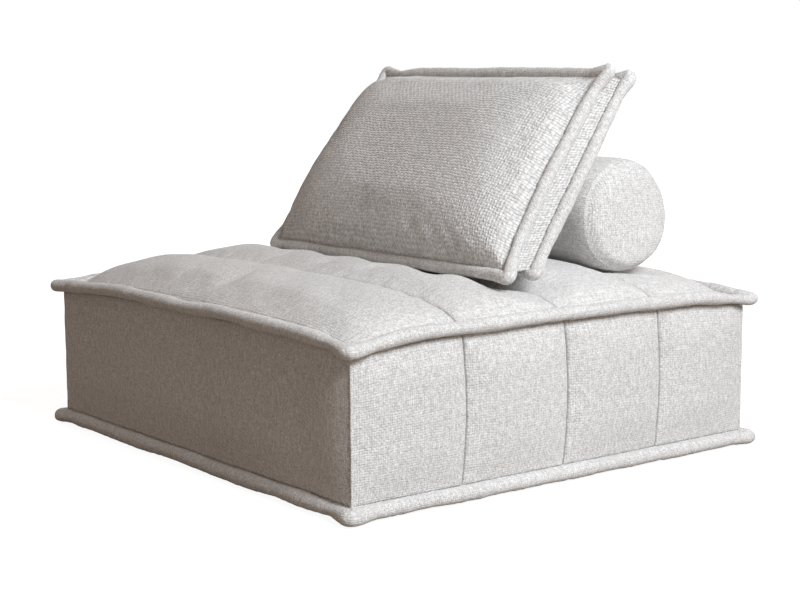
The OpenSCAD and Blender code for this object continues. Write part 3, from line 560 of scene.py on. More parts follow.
def side_cloth(name, place, length, seams, low, high, replaced, seed, puff=0.0048, up=31):
    """A quilted side. place(s, t, out) gives the point at s along the side, t up it and out of it."""
    marks = [0.0] + seams + [1.0]
    s, t = np.meshgrid(across_seams(marks, SIDE_STEP, length), np.linspace(0, 1, up), indexing="ij")
    full = np.ones_like(s)
    for a, b in zip(marks, marks[1:]):
        share = np.clip((s - a) / (b - a), 0, 1) * 2 - 1
        sewn_here = ((share < 0) & (a in seams)) | ((share > 0) & (b in seams))
        full = np.where((s >= a) & (s <= b) & sewn_here, 1 - 0.8 * np.abs(share) ** 5, full)
    corner = np.clip(1 - np.minimum(s, 1 - s) * length / 0.05, 0, 1)
    full = full * (1 - corner**2)
    away, gathers = np.ones_like(s), np.zeros_like(s)
    if seams:
        away = np.min(np.abs(s[..., None] - np.array(seams)), axis=-1) * length
        gathers = waves(t * (high - low) + s * 0.3, 0.7, 0.018, 0.06, seed) * bell(away - 0.010, 0.010)
    out = puff * full * (1 - (2 * t - 1) ** 6) - crease(away, 0.0042) + 0.0005 * gathers
    out += 0.0006 * waves(s * length, length, 0.08, 0.3, seed + 40) * (1 - (2 * t - 1) ** 4)
    front, rear = place(s, t, np.minimum(out, puff + 0.0006)), place(s, t, np.full_like(s, -PANEL_T))
    points = np.concatenate([front.reshape(-1, 3), rear.reshape(-1, 3)])
    count, ring, faces = s.size, rim_of(*s.shape), grid_faces(*s.shape)
    faces += [tuple(i + count for i in f[::-1]) for f in faces]
    faces += [(a, b, b + count, a + count) for a, b in zip(ring, ring[1:] + ring[:1])]
    flat = np.stack([s * length, low + t * (high - low)], -1).reshape(-1, 2)
    made = smooth_object(name, points, faces, linen, np.concatenate([flat, flat]))
    # Painted shade along the side's upright seams, none on its inner face.
    paint_seam_shade(made, np.concatenate([away.reshape(-1), np.ones(count)]))
    if high - low > LEAST_QUILTED:
        sewn = np.zeros(2 * count)
        sewn[count:] = sewn[ring] = 1
        sewn[:count][away.reshape(-1) < 0.002] = 1
        inflate(made, sewn, pressure=1.2, most=0.004, grow=0.003, frames=16)
    soften(made)
    settle(made, "seat", "linen", *replaced, fill=0.5)


def upper_edge(y, half_length):
    return SEAM_HIGH + side_rise(y / half_length)


def side_place(sign):
    def place(s, t, out):
        y = (2 * s - 1) * HALF_D
        y = y + SEAM_BOW * np.sin(np.pi * t) * (1 - (2 * s - 1) ** 4)
        return np.stack([sign * (HALF_W + out), y, SEAM_LOW + t * (upper_edge(y, HALF_D) - SEAM_LOW)], -1)
    return place


def end_place(sign, low=SEAM_LOW, top=None):
    def place(s, t, out):
        x = (2 * s - 1) * HALF_W
        high = upper_edge(x, HALF_W) if top is None else top
        return np.stack([x, sign * (HALF_D + out), low + t * (high - low)], -1)
    return place


for side, sign, seed in (("right", 1, 11), ("left", -1, 12)):
    side_cloth(f"{side}_side", side_place(sign), 2 * HALF_D, SIDE_SEAMS, SEAM_LOW, SEAM_HIGH,
               [f"{side}_panel_{k}" for k in (1, 2, 3, 4)], seed)
side_cloth("front_side", end_place(-1), 2 * HALF_W, [], SEAM_LOW, SEAM_HIGH, ["front_panel"], 13)
side_cloth("rear_side", end_place(1, ZIP_Z + ZIP_SLOT / 2), 2 * HALF_W, [], ZIP_Z, SEAM_HIGH,
           ["rear_panel_upper"], 14)
side_cloth("rear_side_lower", end_place(1, SEAM_LOW, ZIP_Z - ZIP_SLOT / 2), 2 * HALF_W, [], SEAM_LOW, ZIP_Z,
           ["rear_panel_lower"], 15, puff=0.0012, up=9)

# %% [markdown]
# ## Rolled edges
# A rolled edge is a tube of wadding stitched into the seam, firmer than the cloth beside it. It runs
# in slow waves, is gathered by its stitches on the inside, and ends in a pointed ear at each corner.
# It is swept along a closed path with its own section rather than made by a curve's bevel, because
# the gathers and ears need a radius that changes both along and round the tube.

# %% Paths and tubes
def unit(rows):
    return rows / np.linalg.norm(rows, axis=1, keepdims=True)


def patch(u0, u1, v0, v1):
    return [(u0, v0), (u1, v0), (u1, v1), (u0, v1)]


def rounded_corner_path(corners, step, ear, reach=0.04):
    """A closed path through corners, in a plane, pushed outwards near each of them. Gives the points
    and how far along its straight edge each one is from the nearest corner."""
    points, off = [], []
    centre = np.mean(corners, axis=0)
    for a, b in zip(corners, corners[1:] + corners[:1]):
        length = np.linalg.norm(b - a)
        n = int(round(length / step))
        for i in range(n):
            d = length * i / n
            points.append(a + (b - a) * i / n)
            off.append(min(d, length - d))
    points = np.array(points)
    for c in corners:
        near = np.linalg.norm(points - c, axis=1)
        out = (c - centre) / np.linalg.norm(c - centre)
        points += np.outer(ear * np.exp(-((near / reach) ** 2) * 2.2), out)
    for _ in range(3):
        points = 0.25 * np.roll(points, 1, 0) + 0.5 * points + 0.25 * np.roll(points, -1, 0)
    return points, np.array(off)


def rolled_edge(name, path, off, normal, radius, seed, body, replaced, wave, gather=0.00035, sides=20, tall=1.0,
                pinches=(), slope=0.0):
    """Sweeps a gathered tube along a closed path. normal is the path's plane, tall its height against
    its width, and pinches the points beside which a seam draws it in."""
    n = len(path)
    lengths = np.linalg.norm(np.roll(path, -1, 0) - path, axis=1)
    run, total = np.concatenate([[0], np.cumsum(lengths)[:-1]]), lengths.sum()
    tangent = unit(np.roll(path, -1, 0) - np.roll(path, 1, 0))
    outward = unit(np.cross(tangent, normal))
    upward = np.cross(outward, tangent)
    slow = waves(run, total, 0.11, 0.5, seed)
    lift = wave * waves(run, total, 0.16, 0.6, seed + 1)
    thick = 1 + 0.05 * slow - 0.12 * bell(off - 0.045, 0.02) + 0.05 * bell(off, 0.02)
    for place in pinches:
        thick -= 0.10 * bell(np.linalg.norm(path - np.array(place), axis=1), 0.006)
    points = np.empty((n, sides, 3))
    for j, a in enumerate(2 * np.pi * np.arange(sides) / sides):
        inner = 0.5 - 0.5 * math.cos(a)
        fold = waves(run + 0.004 * math.sin(a), total, 0.012, 0.045, seed + 2, 24)
        fine = waves(run + 0.010 * math.sin(2 * a), total, 0.03, 0.09, seed + 3, 16)
        r = radius * thick * (1 - 0.04 * math.cos(2 * a)) + gather * (0.4 + 0.9 * inner) * fold + 0.5 * gather * fine
        r = np.minimum(r, radius * 1.12)
        side, rise = r * math.cos(a), tall * r * math.sin(a)
        points[:, j] = (path + (side - slope * rise)[:, None] * outward + rise[:, None] * upward
                        + lift[:, None] * normal)
    around = 2 * np.pi * radius / sides
    uvs = [corner for i in range(n) for j in range(sides)
           for corner in patch(run[i], run[i] + lengths[i], j * around, (j + 1) * around)]
    made = smooth_object(name, points.reshape(-1, 3), grid_faces(n, sides, True, True), linen, uvs)
    settle(made, body, "linen", replaced, fill=0.8)
    print(name, "length", round(float(total), 3), "m, points", len(made.data.vertices))


# %% Rolled edges of the seat
ROLL_STEP, SEAT_TUBE_R, Z_UP = 0.005, SEAT_ROLL_R * 0.96, np.array([0.0, 0.0, 1.0])
hx, hy = HALF_W + ROLL_OFF, HALF_D + ROLL_OFF
seat_corners = [np.array([x * hx, y * hy, 0]) for x, y in ((1, -1), (1, 1), (-1, 1), (-1, -1))]
flat_path, corner_off = rounded_corner_path(seat_corners, ROLL_STEP, EAR_OUT * 1.2)


def bowed(path, z, bow):
    """The path at height z, raised along each side by a share bow of the side's rise."""
    far_x, far_y = np.abs(path[:, 0]) / hx, np.abs(path[:, 1]) / hy
    along = np.abs(np.where(far_x > far_y, path[:, 1] / HALF_D, path[:, 0] / HALF_W))
    result = path.copy()
    result[:, 2] = z + bow * side_rise(np.minimum(1, along) * np.minimum(1, np.maximum(far_x, far_y)))
    return result


def pinches_at(z):
    return [(side * hx, y, z) for side in (1, -1) for y in CHANNEL_EDGES[1:4]]


top_path, low_path = bowed(flat_path, TOP_ROLL_Z, 1), bowed(flat_path, LOW_ROLL_Z, 0)
rolled_edge("seat_top_roll", top_path, corner_off, Z_UP, SEAT_TUBE_R, 21, "seat", "top_roll", wave=0.0013,
            tall=0.83, pinches=pinches_at(TOP_ROLL_Z + EDGE_BOW))
rolled_edge("seat_bottom_roll", low_path, corner_off, Z_UP, SEAT_TUBE_R, 31, "seat", "bottom_roll", wave=0.0006,
            gather=0.0003, tall=0.86, slope=0.12, pinches=pinches_at(LOW_ROLL_Z))

# %% Seam allowances under the rolls
HALF_THICK, ALLOWANCE_IN = 0.0006, 0.006


def allowance(name, path, level_in, level_out):
    """The strip of cover between a side's edge and its roll, which the corners pull outwards."""
    limit, outer = np.array([HALF_W, HALF_D]) - ALLOWANCE_IN, path[:, :2]
    inner = np.clip(outer, -limit, limit)
    section = [(inner, level_in + HALF_THICK), (inner, level_in - HALF_THICK),
               (outer, level_out - HALF_THICK), (outer, level_out + HALF_THICK)]
    points = np.stack([np.column_stack(corner) for corner in section], 1).reshape(-1, 3)
    made = smooth_object(name, points, grid_faces(len(path), 4, True, True), linen, points[:, :2])
    made.data.set_sharp_from_angle(angle=math.radians(50))
    settle(made, "seat", "linen", fill=0.1)


allowance("top_allowance", top_path, top_path[:, 2] - TOP_ROLL_Z + SEAM_HIGH, top_path[:, 2])
allowance("bottom_allowance", low_path, low_path[:, 2] * 0 + SEAM_LOW + 0.001, low_path[:, 2] + 0.006)

# %% [markdown]
# ## Back cushion
# A box cushion: a front and a rear face that swell from their rolled edges, and a band between them.
# The three are one closed skin here, sewn down along the two rings where the rolls run. It is drawn
# in the cushion's own upright frame and then leaned back, as the CAD does.

# %% The cushion's own frame
FACE_IN, COLS, ROWS, LEFT_FULL = 0.0055, 96, 62, 0.011
BAND_AT = np.array([0, 6, 12, 18.3, 18.9, 28.1, 28.7, 35, 41, 47]) / 1000
ZIP_FROM, ZIP_TO, ZIP_MID, ZIP_HALF, ZIP_SINK = 0.0185, 0.0285, 0.228, 0.180, 0.0088
TAPER = math.atan((BOTTOM_W - TOP_W) / 2 / CUSHION_H)
FRONT_FACE, REAR_FACE = (0, CUSHION_H, 0, FRONT_CROWN), (REAR_RISE, REAR_H, CUSHION_T, REAR_CROWN)


def lean_back(points):
    """From the cushion's frame (across, away from its face, up its face) to the sofa's."""
    p = np.asarray(points, float)
    c, s = math.cos(LEAN), math.sin(LEAN)
    return np.stack([p[..., 0], p[..., 1] * c + p[..., 2] * s, -p[..., 1] * s + p[..., 2] * c], -1) + CUSHION_AT


def turned_back(direction):
    return lean_back(direction) - CUSHION_AT


def face_half(rise):
    return (BOTTOM_W + (TOP_W - BOTTOM_W) * rise / CUSHION_H) / 2


def top_sag(u):
    """How far the cushion's top edge hangs at u across it, nought at its ends."""
    return (0.007 + 0.005 * bell(u + 0.80, 0.10)) * np.clip(1 - u**8, 0, 1) ** 0.5


def right_bow(u, v):
    """How far the middle of the front face's right edge is drawn in, as its corners pull."""
    return 0.018 * np.clip(u, 0, 1) ** 3 * (1 - np.minimum(1, np.abs(v)) ** 3)


def face_points(low, height, deep, crown):
    """One face of the cushion, its top rim sagging. Gives its points, how far each of them swells from
    the face's plane, and their UV."""
    even = [np.linspace(-1, 1, count) for count in (COLS, ROWS)]
    u, v = np.meshgrid(*(np.sin(np.pi / 2 * e) * 0.35 + e * 0.65 for e in even), indexing="ij")
    rise = low + height / 2 + v * (height / 2 - FACE_IN)
    half, near_top, full = face_half(rise) - FACE_IN, np.clip((rise - low) / height, 0, 1) ** 6, swell(u, v)
    rim = np.minimum((1 - np.abs(u)) * half, (1 - np.abs(v)) * height / 2)
    top = np.clip((v - 0.55) / 0.3, 0, 1)
    groove = 1 - (0.6 + 0.2 * top) * bell(rim, 0.014 + 0.024 * top)
    out = crown * full * groove + 0.0005 * full * waves(u * half, 0.8, 0.2, 0.5, 81) * np.sin(3 * v)
    out = out + 0.0008 * (waves(np.arctan2(v, u), 2 * np.pi, 0.10, 0.30, 82) * bell(rim - 0.03, 0.02))
    across = u * half
    if deep == 0:
        out = out + LEFT_FULL * bell(u + 0.74, 0.30) * np.clip(1 - v**4, 0, 1) * np.clip((v + 0.95) / 0.7, 0, 1)
        across = across - right_bow(u, v)
    points = np.stack([across, deep + 0 * u, rise - near_top * top_sag(u)], -1)
    return points.reshape(-1, 3), out.reshape(-1), np.stack([u * half, rise], -1).reshape(-1, 2)


def cushion_skin():
    """The points of the closed skin, its faces, the UV of their corners, and where it is sewn down."""
    front, out, front_uv = face_points(*FRONT_FACE)
    front[:, 1] -= out
    rear, out, rear_uv = face_points(*REAR_FACE)
    rear[:, 1] += out
    ring, count = rim_of(COLS, ROWS), COLS * ROWS
    n = len(ring)
    a, b = front[ring], rear[ring]
    a[:, 1], b[:, 1] = 0, CUSHION_T
    inwards = np.array([math.cos(TAPER), 0, -math.sin(TAPER)])
    middle = []
    for deep in BAND_AT[1:-1]:
        layer = a + (b - a) * deep / CUSHION_T
        if ZIP_FROM < deep < ZIP_TO:
            on_end = layer[:, 0] < -face_half(layer[:, 2]) + FACE_IN + 0.004
            layer[on_end & (np.abs(layer[:, 2] - ZIP_MID) < ZIP_HALF)] += ZIP_SINK * inwards
        middle.append(layer)
    points = np.concatenate([front, rear] + middle)
    faces = grid_faces(COLS, ROWS)
    faces += [tuple(i + count for i in f[::-1]) for f in faces]
    face_uv = np.concatenate([front_uv, rear_uv + np.array([1.0, 0])])
    uvs = [face_uv[i] for f in faces for i in f]
    run = np.concatenate([[0], np.cumsum(np.linalg.norm(np.roll(a, -1, 0) - a, axis=1))])
    starts = [2 * count + k * n for k in range(len(middle))]
    rings = [ring] + [range(start, start + n) for start in starts] + [[i + count for i in ring]]
    for one, other, v0, v1 in zip(rings, rings[1:], BAND_AT, BAND_AT[1:]):
        for k in range(n):
            l = (k + 1) % n
            faces.append((one[k], one[l], other[l], other[k]))
            uvs += patch(2 + run[k], 2 + run[k + 1], v0, v1)
    sewn = np.zeros(len(points))
    sewn[rings[0]] = sewn[rings[-1]] = sewn[2 * count:] = 1
    return lean_back(points), faces, uvs, sewn


points, faces, uvs, sewn = cushion_skin()
cushion = smooth_object("cushion_cover", points, faces, ribbed, uvs)
inflate(cushion, sewn, pressure=4.0, most=0.013, grow=0.008, bend=2.0, sink=0.0, calm=10)
soften(cushion)
settle(cushion, "back_cushion", "linen", "cushion_front_panel", "cushion_rear_panel", "cushion_gusset",
       "cushion_end_strip_front", "cushion_end_strip_rear", "cushion_fill", fill=0.9)


# %% Rolled edges of the cushion
def cushion_edge(name, seed, replaced, low, height, deep, crown):
    corners = [np.array([side * face_half(rise), deep, rise]) for side, rise in
               ((1, low), (1, low + height), (-1, low + height), (-1, low))]
    path, off = rounded_corner_path(corners, ROLL_STEP, EAR_OUT * 0.8, 0.035)
    on_top = np.clip((path[:, 2] - low) / height, 0, 1) ** 6
    u, v = np.clip(path[:, 0] / face_half(path[:, 2]), -1, 1), 2 * (path[:, 2] - low) / height - 1
    path[:, 2] -= on_top * (top_sag(u) - 0.003 * (1 - u**4))
    if deep == 0:
        path[:, 0] -= right_bow(u, v)
    rolled_edge(name, lean_back(path), off, turned_back([0, -1, 0]), CUSHION_ROLL_R, seed, "back_cushion",
                replaced, wave=0.0008, sides=18)


cushion_edge("cushion_front_edge", 41, "cushion_front_roll", *FRONT_FACE)
cushion_edge("cushion_rear_edge", 51, "cushion_rear_roll", *REAR_FACE)

# %% [markdown]
# ## Bolster
# A filled tube with two round ends. Tube and ends are one closed skin of revolution, held along the
# two end seams and blown up, so that the ends turn into shallow pillows and the tube gathers at them.

# %% Bolster
BOLSTER_ZIP, BOLSTER_ZIP_HALF, BOLSTER_SINK = math.radians(70), 0.253, 0.0065
END_BULGE, BULGE_AT, BULGE_WIDTH = 0.013, math.radians(40), 0.9
TURNS, LEFT_SHEET, RIGHT_SHEET = 96, 4, 3


def bolster_skin():
    """The points of the closed skin, its faces, the UV of their corners, and where it is sewn down."""
    seam_x, seam_r = BOLSTER_LEN / 2 - END_CROWN, BOLSTER_R - END_SEAM_IN
    trough = BOLSTER_ZIP + np.radians([-2.9, -2.5, 0, 2.5, 2.9])
    plain = 2 * np.pi * np.arange(TURNS) / TURNS
    theta = np.sort(np.concatenate([plain[np.abs(plain - BOLSTER_ZIP) > math.radians(4)], trough]))
    sunk = np.abs(theta - BOLSTER_ZIP) < math.radians(2.6)
    disc = [(seam_x + END_CROWN * math.sqrt(max(0.0, 1 - r**4)), seam_r * r) for r in np.linspace(0.04, 1, 14)]
    turn = [(seam_x - END_ROUND * (1 - math.sin(a)), BOLSTER_R - END_SEAM_IN * (1 - math.cos(a)))
            for a in np.radians(np.linspace(80, 0, 6))]
    side = disc + turn + [(x, BOLSTER_R) for x in np.linspace(seam_x - END_ROUND, 0, 36)[1:]]
    profile = side + [(-x, r) for x, r in side[-2::-1]]
    rows, around, disc_rows = len(profile), len(theta), len(disc)
    bulge = END_BULGE * bell((theta - BULGE_AT + np.pi) % (2 * np.pi) - np.pi, BULGE_WIDTH)
    grid = np.empty((rows, around, 3))
    for i, (x, r) in enumerate(profile):
        r = r - BOLSTER_SINK * sunk * (abs(x) < BOLSTER_ZIP_HALF)
        end = max(0.0, (abs(x) - (seam_x - END_ROUND)) / (END_ROUND + END_CROWN))
        grid[i, :, 0] = BOLSTER_X + x + math.copysign(1, x) * end * bulge * np.minimum(1, np.mean(r) / seam_r)
        grid[i, :, 1] = BOLSTER_Y + r * np.sin(theta)
        grid[i, :, 2] = BOLSTER_Z - r * np.cos(theta)
    points, faces, uvs = list(grid.reshape(-1, 3)), grid_faces(rows, around, closed_cols=True), []

    def end_uv(face, sheet):
        return [(sheet + points[k][1], points[k][2]) for k in face]

    run = np.concatenate([[0], np.cumsum(np.hypot(*np.diff(np.array(profile), axis=0).T))])
    girth = BOLSTER_R * np.append(theta, 2 * np.pi)
    for face in faces:
        i, j = divmod(face[0], around)
        if i < disc_rows - 1 or i >= rows - disc_rows:
            uvs += end_uv(face, RIGHT_SHEET if i < rows / 2 else LEFT_SHEET)
        else:
            uvs += [(girth[j], run[i]), (girth[j], run[i + 1]), (girth[j + 1], run[i + 1]), (girth[j + 1], run[i])]
    for i, sheet in ((0, RIGHT_SHEET), (rows - 1, LEFT_SHEET)):
        tip = len(points)
        points.append(np.array([BOLSTER_X + profile[i][0], BOLSTER_Y, BOLSTER_Z]))
        for j in range(around):
            faces.append((i * around + j, i * around + (j + 1) % around, tip))
            uvs += end_uv(faces[-1], sheet)
    sewn = np.zeros(len(points))
    sewn_grid = sewn[:grid[..., 0].size].reshape(rows, around)
    sewn_grid[[disc_rows - 1, rows - disc_rows]] = 1
    sewn_grid[disc_rows:rows - disc_rows, np.abs(theta - BOLSTER_ZIP) < math.radians(4)] = 1
    return np.array(points), faces, uvs, sewn


points, faces, uvs, sewn = bolster_skin()
bolster = smooth_object("bolster_cover", points, faces, linen, uvs)
inflate(bolster, sewn, pressure=2.0, most=0.005, grow=0.004)
soften(bolster)
settle(bolster, "bolster", "linen", "bolster_tube", "bolster_left_end", "bolster_right_end", "bolster_fill", fill=0.9)

# %% [markdown]
# ## Hard parts and inner layers
# The pieces inside and behind keep their CAD shape. Their finishes are computed in Object coordinates,
# so they need no UV map: wood grain stretched along each rail, cells in the foam, ribs in the webbing.
# Where an edge catches the light, as on a zip's slider, a copy with rounded edges takes the node's
# place.

# %% Finishes in object coordinates
def finish_of(name, colours, scale, stretch, rough, metal=0.0, relief=0.0, cells=False, low=0.35, high=0.65,
              specular=0.4):
    """A finish whose colour, roughness and relief follow one noise, or cells, in the object's space."""
    made, tree, shader = new_material(name)
    here = put(tree, "ShaderNodeTexCoord").outputs["Object"]
    scaled = put(tree, "ShaderNodeVectorMath", {0: here, 1: [scale * v for v in stretch]}, operation="MULTIPLY")
    given = {"Scale": 1.0, "Vector": scaled.outputs[0]}
    if cells:
        height = put(tree, "ShaderNodeTexVoronoi", given).outputs["Distance"]
    else:
        height = put(tree, "ShaderNodeTexNoise", {**given, "Detail": 4}).outputs["Fac"]
    feed(tree, shader, {"Base Color": mixed(tree, ramp(tree, height, low, high), *colours), "Metallic": metal,
                        "Roughness": ramp(tree, height, low, high, *rough), "Specular IOR Level": specular})
    if relief:
        raise_relief(tree, shader, height, relief, 0.8)
    return made


EVEN = (1, 1, 1)
WOOD, STRAP = ((0.62, 0.43, 0.25), (0.44, 0.27, 0.13)), ((0.42, 0.31, 0.20), (0.20, 0.14, 0.09))
timber_x, timber_y, timber_z = (
    finish_of(f"timber_{way}", WOOD, 1, stretch, (0.55, 0.72), relief=0.0003)
    for way, stretch in (("along_x", (3, 90, 90)), ("along_y", (90, 3, 90)), ("upright", (90, 90, 3))))
band_x, band_y = (finish_of(f"webbing_along_{way}", STRAP, 1, stretch, (0.8, 0.95), relief=0.0004)
                  for way, stretch in (("x", (12, 420, 420)), ("y", (420, 12, 420))))
zinc = finish_of("zinc_steel", ((0.62, 0.63, 0.65), (0.48, 0.49, 0.52)), 220, EVEN, (0.28, 0.46), metal=1.0)
nickel = finish_of("zip_metal", ((0.58, 0.57, 0.55), (0.42, 0.41, 0.39)), 500, EVEN, (0.22, 0.42), metal=1.0)
plastic = finish_of("black_plastic", ((0.022, 0.022, 0.023), (0.045, 0.045, 0.046)), 160, EVEN, (0.38, 0.58),
                    relief=0.0001)
nonwoven = finish_of("black_nonwoven", ((0.016, 0.016, 0.018), (0.055, 0.055, 0.058)), 420, EVEN, (0.8, 0.95),
                     relief=0.0003)
foam_look = finish_of("foam", ((0.88, 0.83, 0.66), (0.70, 0.63, 0.44)), 330, EVEN, (0.85, 0.98), relief=0.0006,
                      cells=True, low=0.1, high=0.6)
fibre_look = finish_of("fibre", ((0.93, 0.93, 0.92), (0.74, 0.74, 0.73)), 90, (1, 1, 4), (0.85, 0.98), relief=0.001)
tape_look = finish_of("zip_tape", ((0.60, 0.575, 0.55), (0.42, 0.40, 0.38)), 700, EVEN, (0.75, 0.92), relief=0.0002)
coil_look = finish_of("zip_coil", ((0.66, 0.63, 0.60), (0.52, 0.50, 0.47)), 300, EVEN, (0.34, 0.5), specular=0.5)
thread_look = finish_of("thread", ((0.66, 0.635, 0.605), (0.46, 0.44, 0.415)), 1200, EVEN, (0.6, 0.8), relief=0.0001)

KEPT = {"frame_screws": zinc, "glide_nails": zinc, "webbing_lengthwise": band_x, "webbing_crosswise": band_y,
        "seat_zip_tape": tape_look, "cushion_zip_tape": tape_look, "bolster_zip_tape": tape_look}
for name, look in KEPT.items():
    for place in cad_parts[name].material_slots:
        place.link, place.material = "OBJECT", look
print("finished CAD nodes:", len(KEPT))


# %% Copies with rounded edges
def rounded_copy(node_name, piece, width, material, slot_name, body="seat", soft=None):
    """A copy of a CAD node, merged and with rounded edges, that takes its place."""
    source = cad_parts[node_name]
    mesh = bpy.data.meshes.new(piece)
    work = bmesh.new()
    work.from_mesh(source.data)
    work.transform(source.matrix_world)
    bmesh.ops.remove_doubles(work, verts=work.verts, dist=2e-6)
    bmesh.ops.dissolve_limit(work, angle_limit=math.radians(0.5), verts=work.verts, edges=work.edges)
    bmesh.ops.recalc_face_normals(work, faces=work.faces)
    sharp = [e for e in work.edges if len(e.link_faces) == 2 and e.calc_face_angle(0) > math.radians(40)]
    bmesh.ops.bevel(work, geom=sharp, offset=width, segments=2, profile=0.5, affect="EDGES", clamp_overlap=True)
    bmesh.ops.triangulate(work, faces=[f for f in work.faces if len(f.verts) > 4])
    bmesh.ops.recalc_face_normals(work, faces=work.faces)
    layer = work.loops.layers.uv.new("weave")
    for face in work.faces:
        drop = max(range(3), key=lambda i: abs(face.normal[i]))
        axes = [i for i in range(3) if i != drop]
        for loop in face.loops:
            loop[layer].uv = [loop.vert.co[i] for i in axes]
    work.to_mesh(mesh)
    work.free()
    mesh.materials.append(material)
    mesh.polygons.foreach_set("use_smooth", [True] * len(mesh.polygons))
    mesh.set_sharp_from_angle(angle=math.radians(32))
    settle(placed(piece, mesh), body, slot_name, node_name, fill=soft)


for look, names in ((timber_x, ("front_rail", "rear_rail")),
                    (timber_y, ("left_rail", "right_rail", "centre_rail", "cross_rails")),
                    (timber_z, ("corner_blocks",))):
    for name in names:
        rounded_copy(name, f"{name}_planed", 0.0012, look, "timber")
rounded_copy("glides", "glides_moulded", 0.0008, plastic, "black_plastic")
rounded_copy("support_foam", "support_foam_block", 0.004, foam_look, "foam", soft=1.0)
rounded_copy("comfort_foam", "comfort_foam_block", 0.004, foam_look, "foam", soft=0.9)
rounded_copy("side_wadding", "side_wadding_layer", 0.0008, fibre_look, "fibre", soft=0.4)
rounded_copy("rear_zip_patches", "rear_zip_patches_sewn", 0.0006, linen, "linen", soft=0.3)
for where in ("seat", "cushion", "bolster"):
    for part in ("slider", "puller"):
        node_name = f"{where}_zip_{part}"
        rounded_copy(node_name, f"{node_name}_cast", 0.00025, nickel, "zip_metal", f"{where}_{part}")

# %% [markdown]
# ## Dust cover
# A thin sheet stretched under the frame, slack enough to ripple a little between its staples.

# %% Dust cover
RIPPLE = 0.0006
low, high = (np.array(c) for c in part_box("dust_cover"))
x, y = np.meshgrid(spaced(low[0], high[0], 0.012), spaced(low[1], high[1], 0.012), indexing="ij")
u, v = 2 * (x - low[0]) / (high[0] - low[0]) - 1, 2 * (y - low[1]) / (high[1] - low[1]) - 1
ripple = RIPPLE * (1 - u**8) * (1 - v**8) * waves(x + 0.6 * y, 1.9, 0.06, 0.25, 91)
points = np.stack([x, y, (low[2] + high[2]) / 2 - np.clip(ripple, -RIPPLE, RIPPLE)], -1).reshape(-1, 3)
dust_sheet = smooth_object("dust_sheet", points, grid_faces(*x.shape), nonwoven, points[:, :2])
settle(dust_sheet, "seat", "black_nonwoven", "dust_cover")
print("dust cover", [round(float(w), 3) for w in high - low])

# %% [markdown]
# ## Zip coils and stitches
# Both repeat one small shape along a path, which is what Geometry Nodes do best. One tree serves both:
# it walks along the path at a spacing, sets a short six-sided rod at each step, turned to the path and
# to the surface beneath it, and makes the rods real. The result is kept as a plain mesh.

# %% A tree that sets rods along a path
def rods_tree():
    tree = bpy.data.node_groups.new("rods_along_path", "GeometryNodeTree")
    for name, kind in (("Path", "Geometry"), ("Spacing", "Float"), ("Rod length", "Float"), ("Rod radius", "Float"),
                       ("Across", "Bool"), ("Uneven", "Float"), ("Seed", "Int"), ("Material", "Material")):
        tree.interface.new_socket(name, in_out="INPUT", socket_type=f"NodeSocket{kind}")
    tree.interface.new_socket("Rods", in_out="OUTPUT", socket_type="NodeSocketGeometry")
    given = put(tree, "NodeGroupInput").outputs
    curve = put(tree, "GeometryNodeMeshToCurve", {"Mesh": given["Path"]})
    steps = put(tree, "GeometryNodeResampleCurve", {"Curve": curve.outputs["Curve"], "Length": given["Spacing"]},
                mode="LENGTH")
    rod = put(tree, "GeometryNodeMeshCylinder", {"Vertices": 6, "Side Segments": 2, "Radius": given["Rod radius"],
                                                 "Depth": given["Rod length"]})
    lie = put(tree, "GeometryNodeTransform", {"Geometry": rod.outputs["Mesh"], "Rotation": (0, math.pi / 2, 0)})
    lie = lie.outputs["Geometry"]
    cross = put(tree, "GeometryNodeTransform", {"Geometry": lie, "Rotation": (0, 0, math.pi / 2)})
    turned = put(tree, "GeometryNodeSwitch",
                 {"Switch": given["Across"], "False": lie, "True": cross.outputs["Geometry"]}, input_type="GEOMETRY")
    up = put(tree, "GeometryNodeInputNamedAttribute", {"Name": "up"}, data_type="FLOAT_VECTOR")
    stand = put(tree, "FunctionNodeAlignRotationToVector", {"Vector": up.outputs["Attribute"]}, axis="Z")
    along = put(tree, "GeometryNodeInputTangent").outputs["Tangent"]
    face = put(tree, "FunctionNodeAlignRotationToVector", {"Rotation": stand.outputs["Rotation"], "Vector": along},
               axis="X", pivot_axis="Z")
    chance = put(tree, "FunctionNodeRandomValue", {"Seed": given["Seed"]}, data_type="FLOAT")
    for limit, operation in zip([i for i in chance.inputs if i.type == "VALUE"], ("SUBTRACT", "ADD")):
        tree.links.new(calc(tree, operation, 1.0, given["Uneven"]), limit)
    size = next(o for o in chance.outputs if o.type == "VALUE")
    laid = put(tree, "GeometryNodeInstanceOnPoints",
               {"Points": steps.outputs["Curve"], "Instance": turned.outputs["Output"],
                "Rotation": face.outputs["Rotation"], "Scale": size})
    real = put(tree, "GeometryNodeRealizeInstances", {"Geometry": laid.outputs["Instances"]})
    paint = put(tree, "GeometryNodeSetMaterial",
                {"Geometry": real.outputs["Geometry"], "Material": given["Material"]})
    put(tree, "NodeGroupOutput", {"Rods": paint.outputs["Geometry"]})
    return tree


RODS, RODS_SEED = rods_tree(), 5


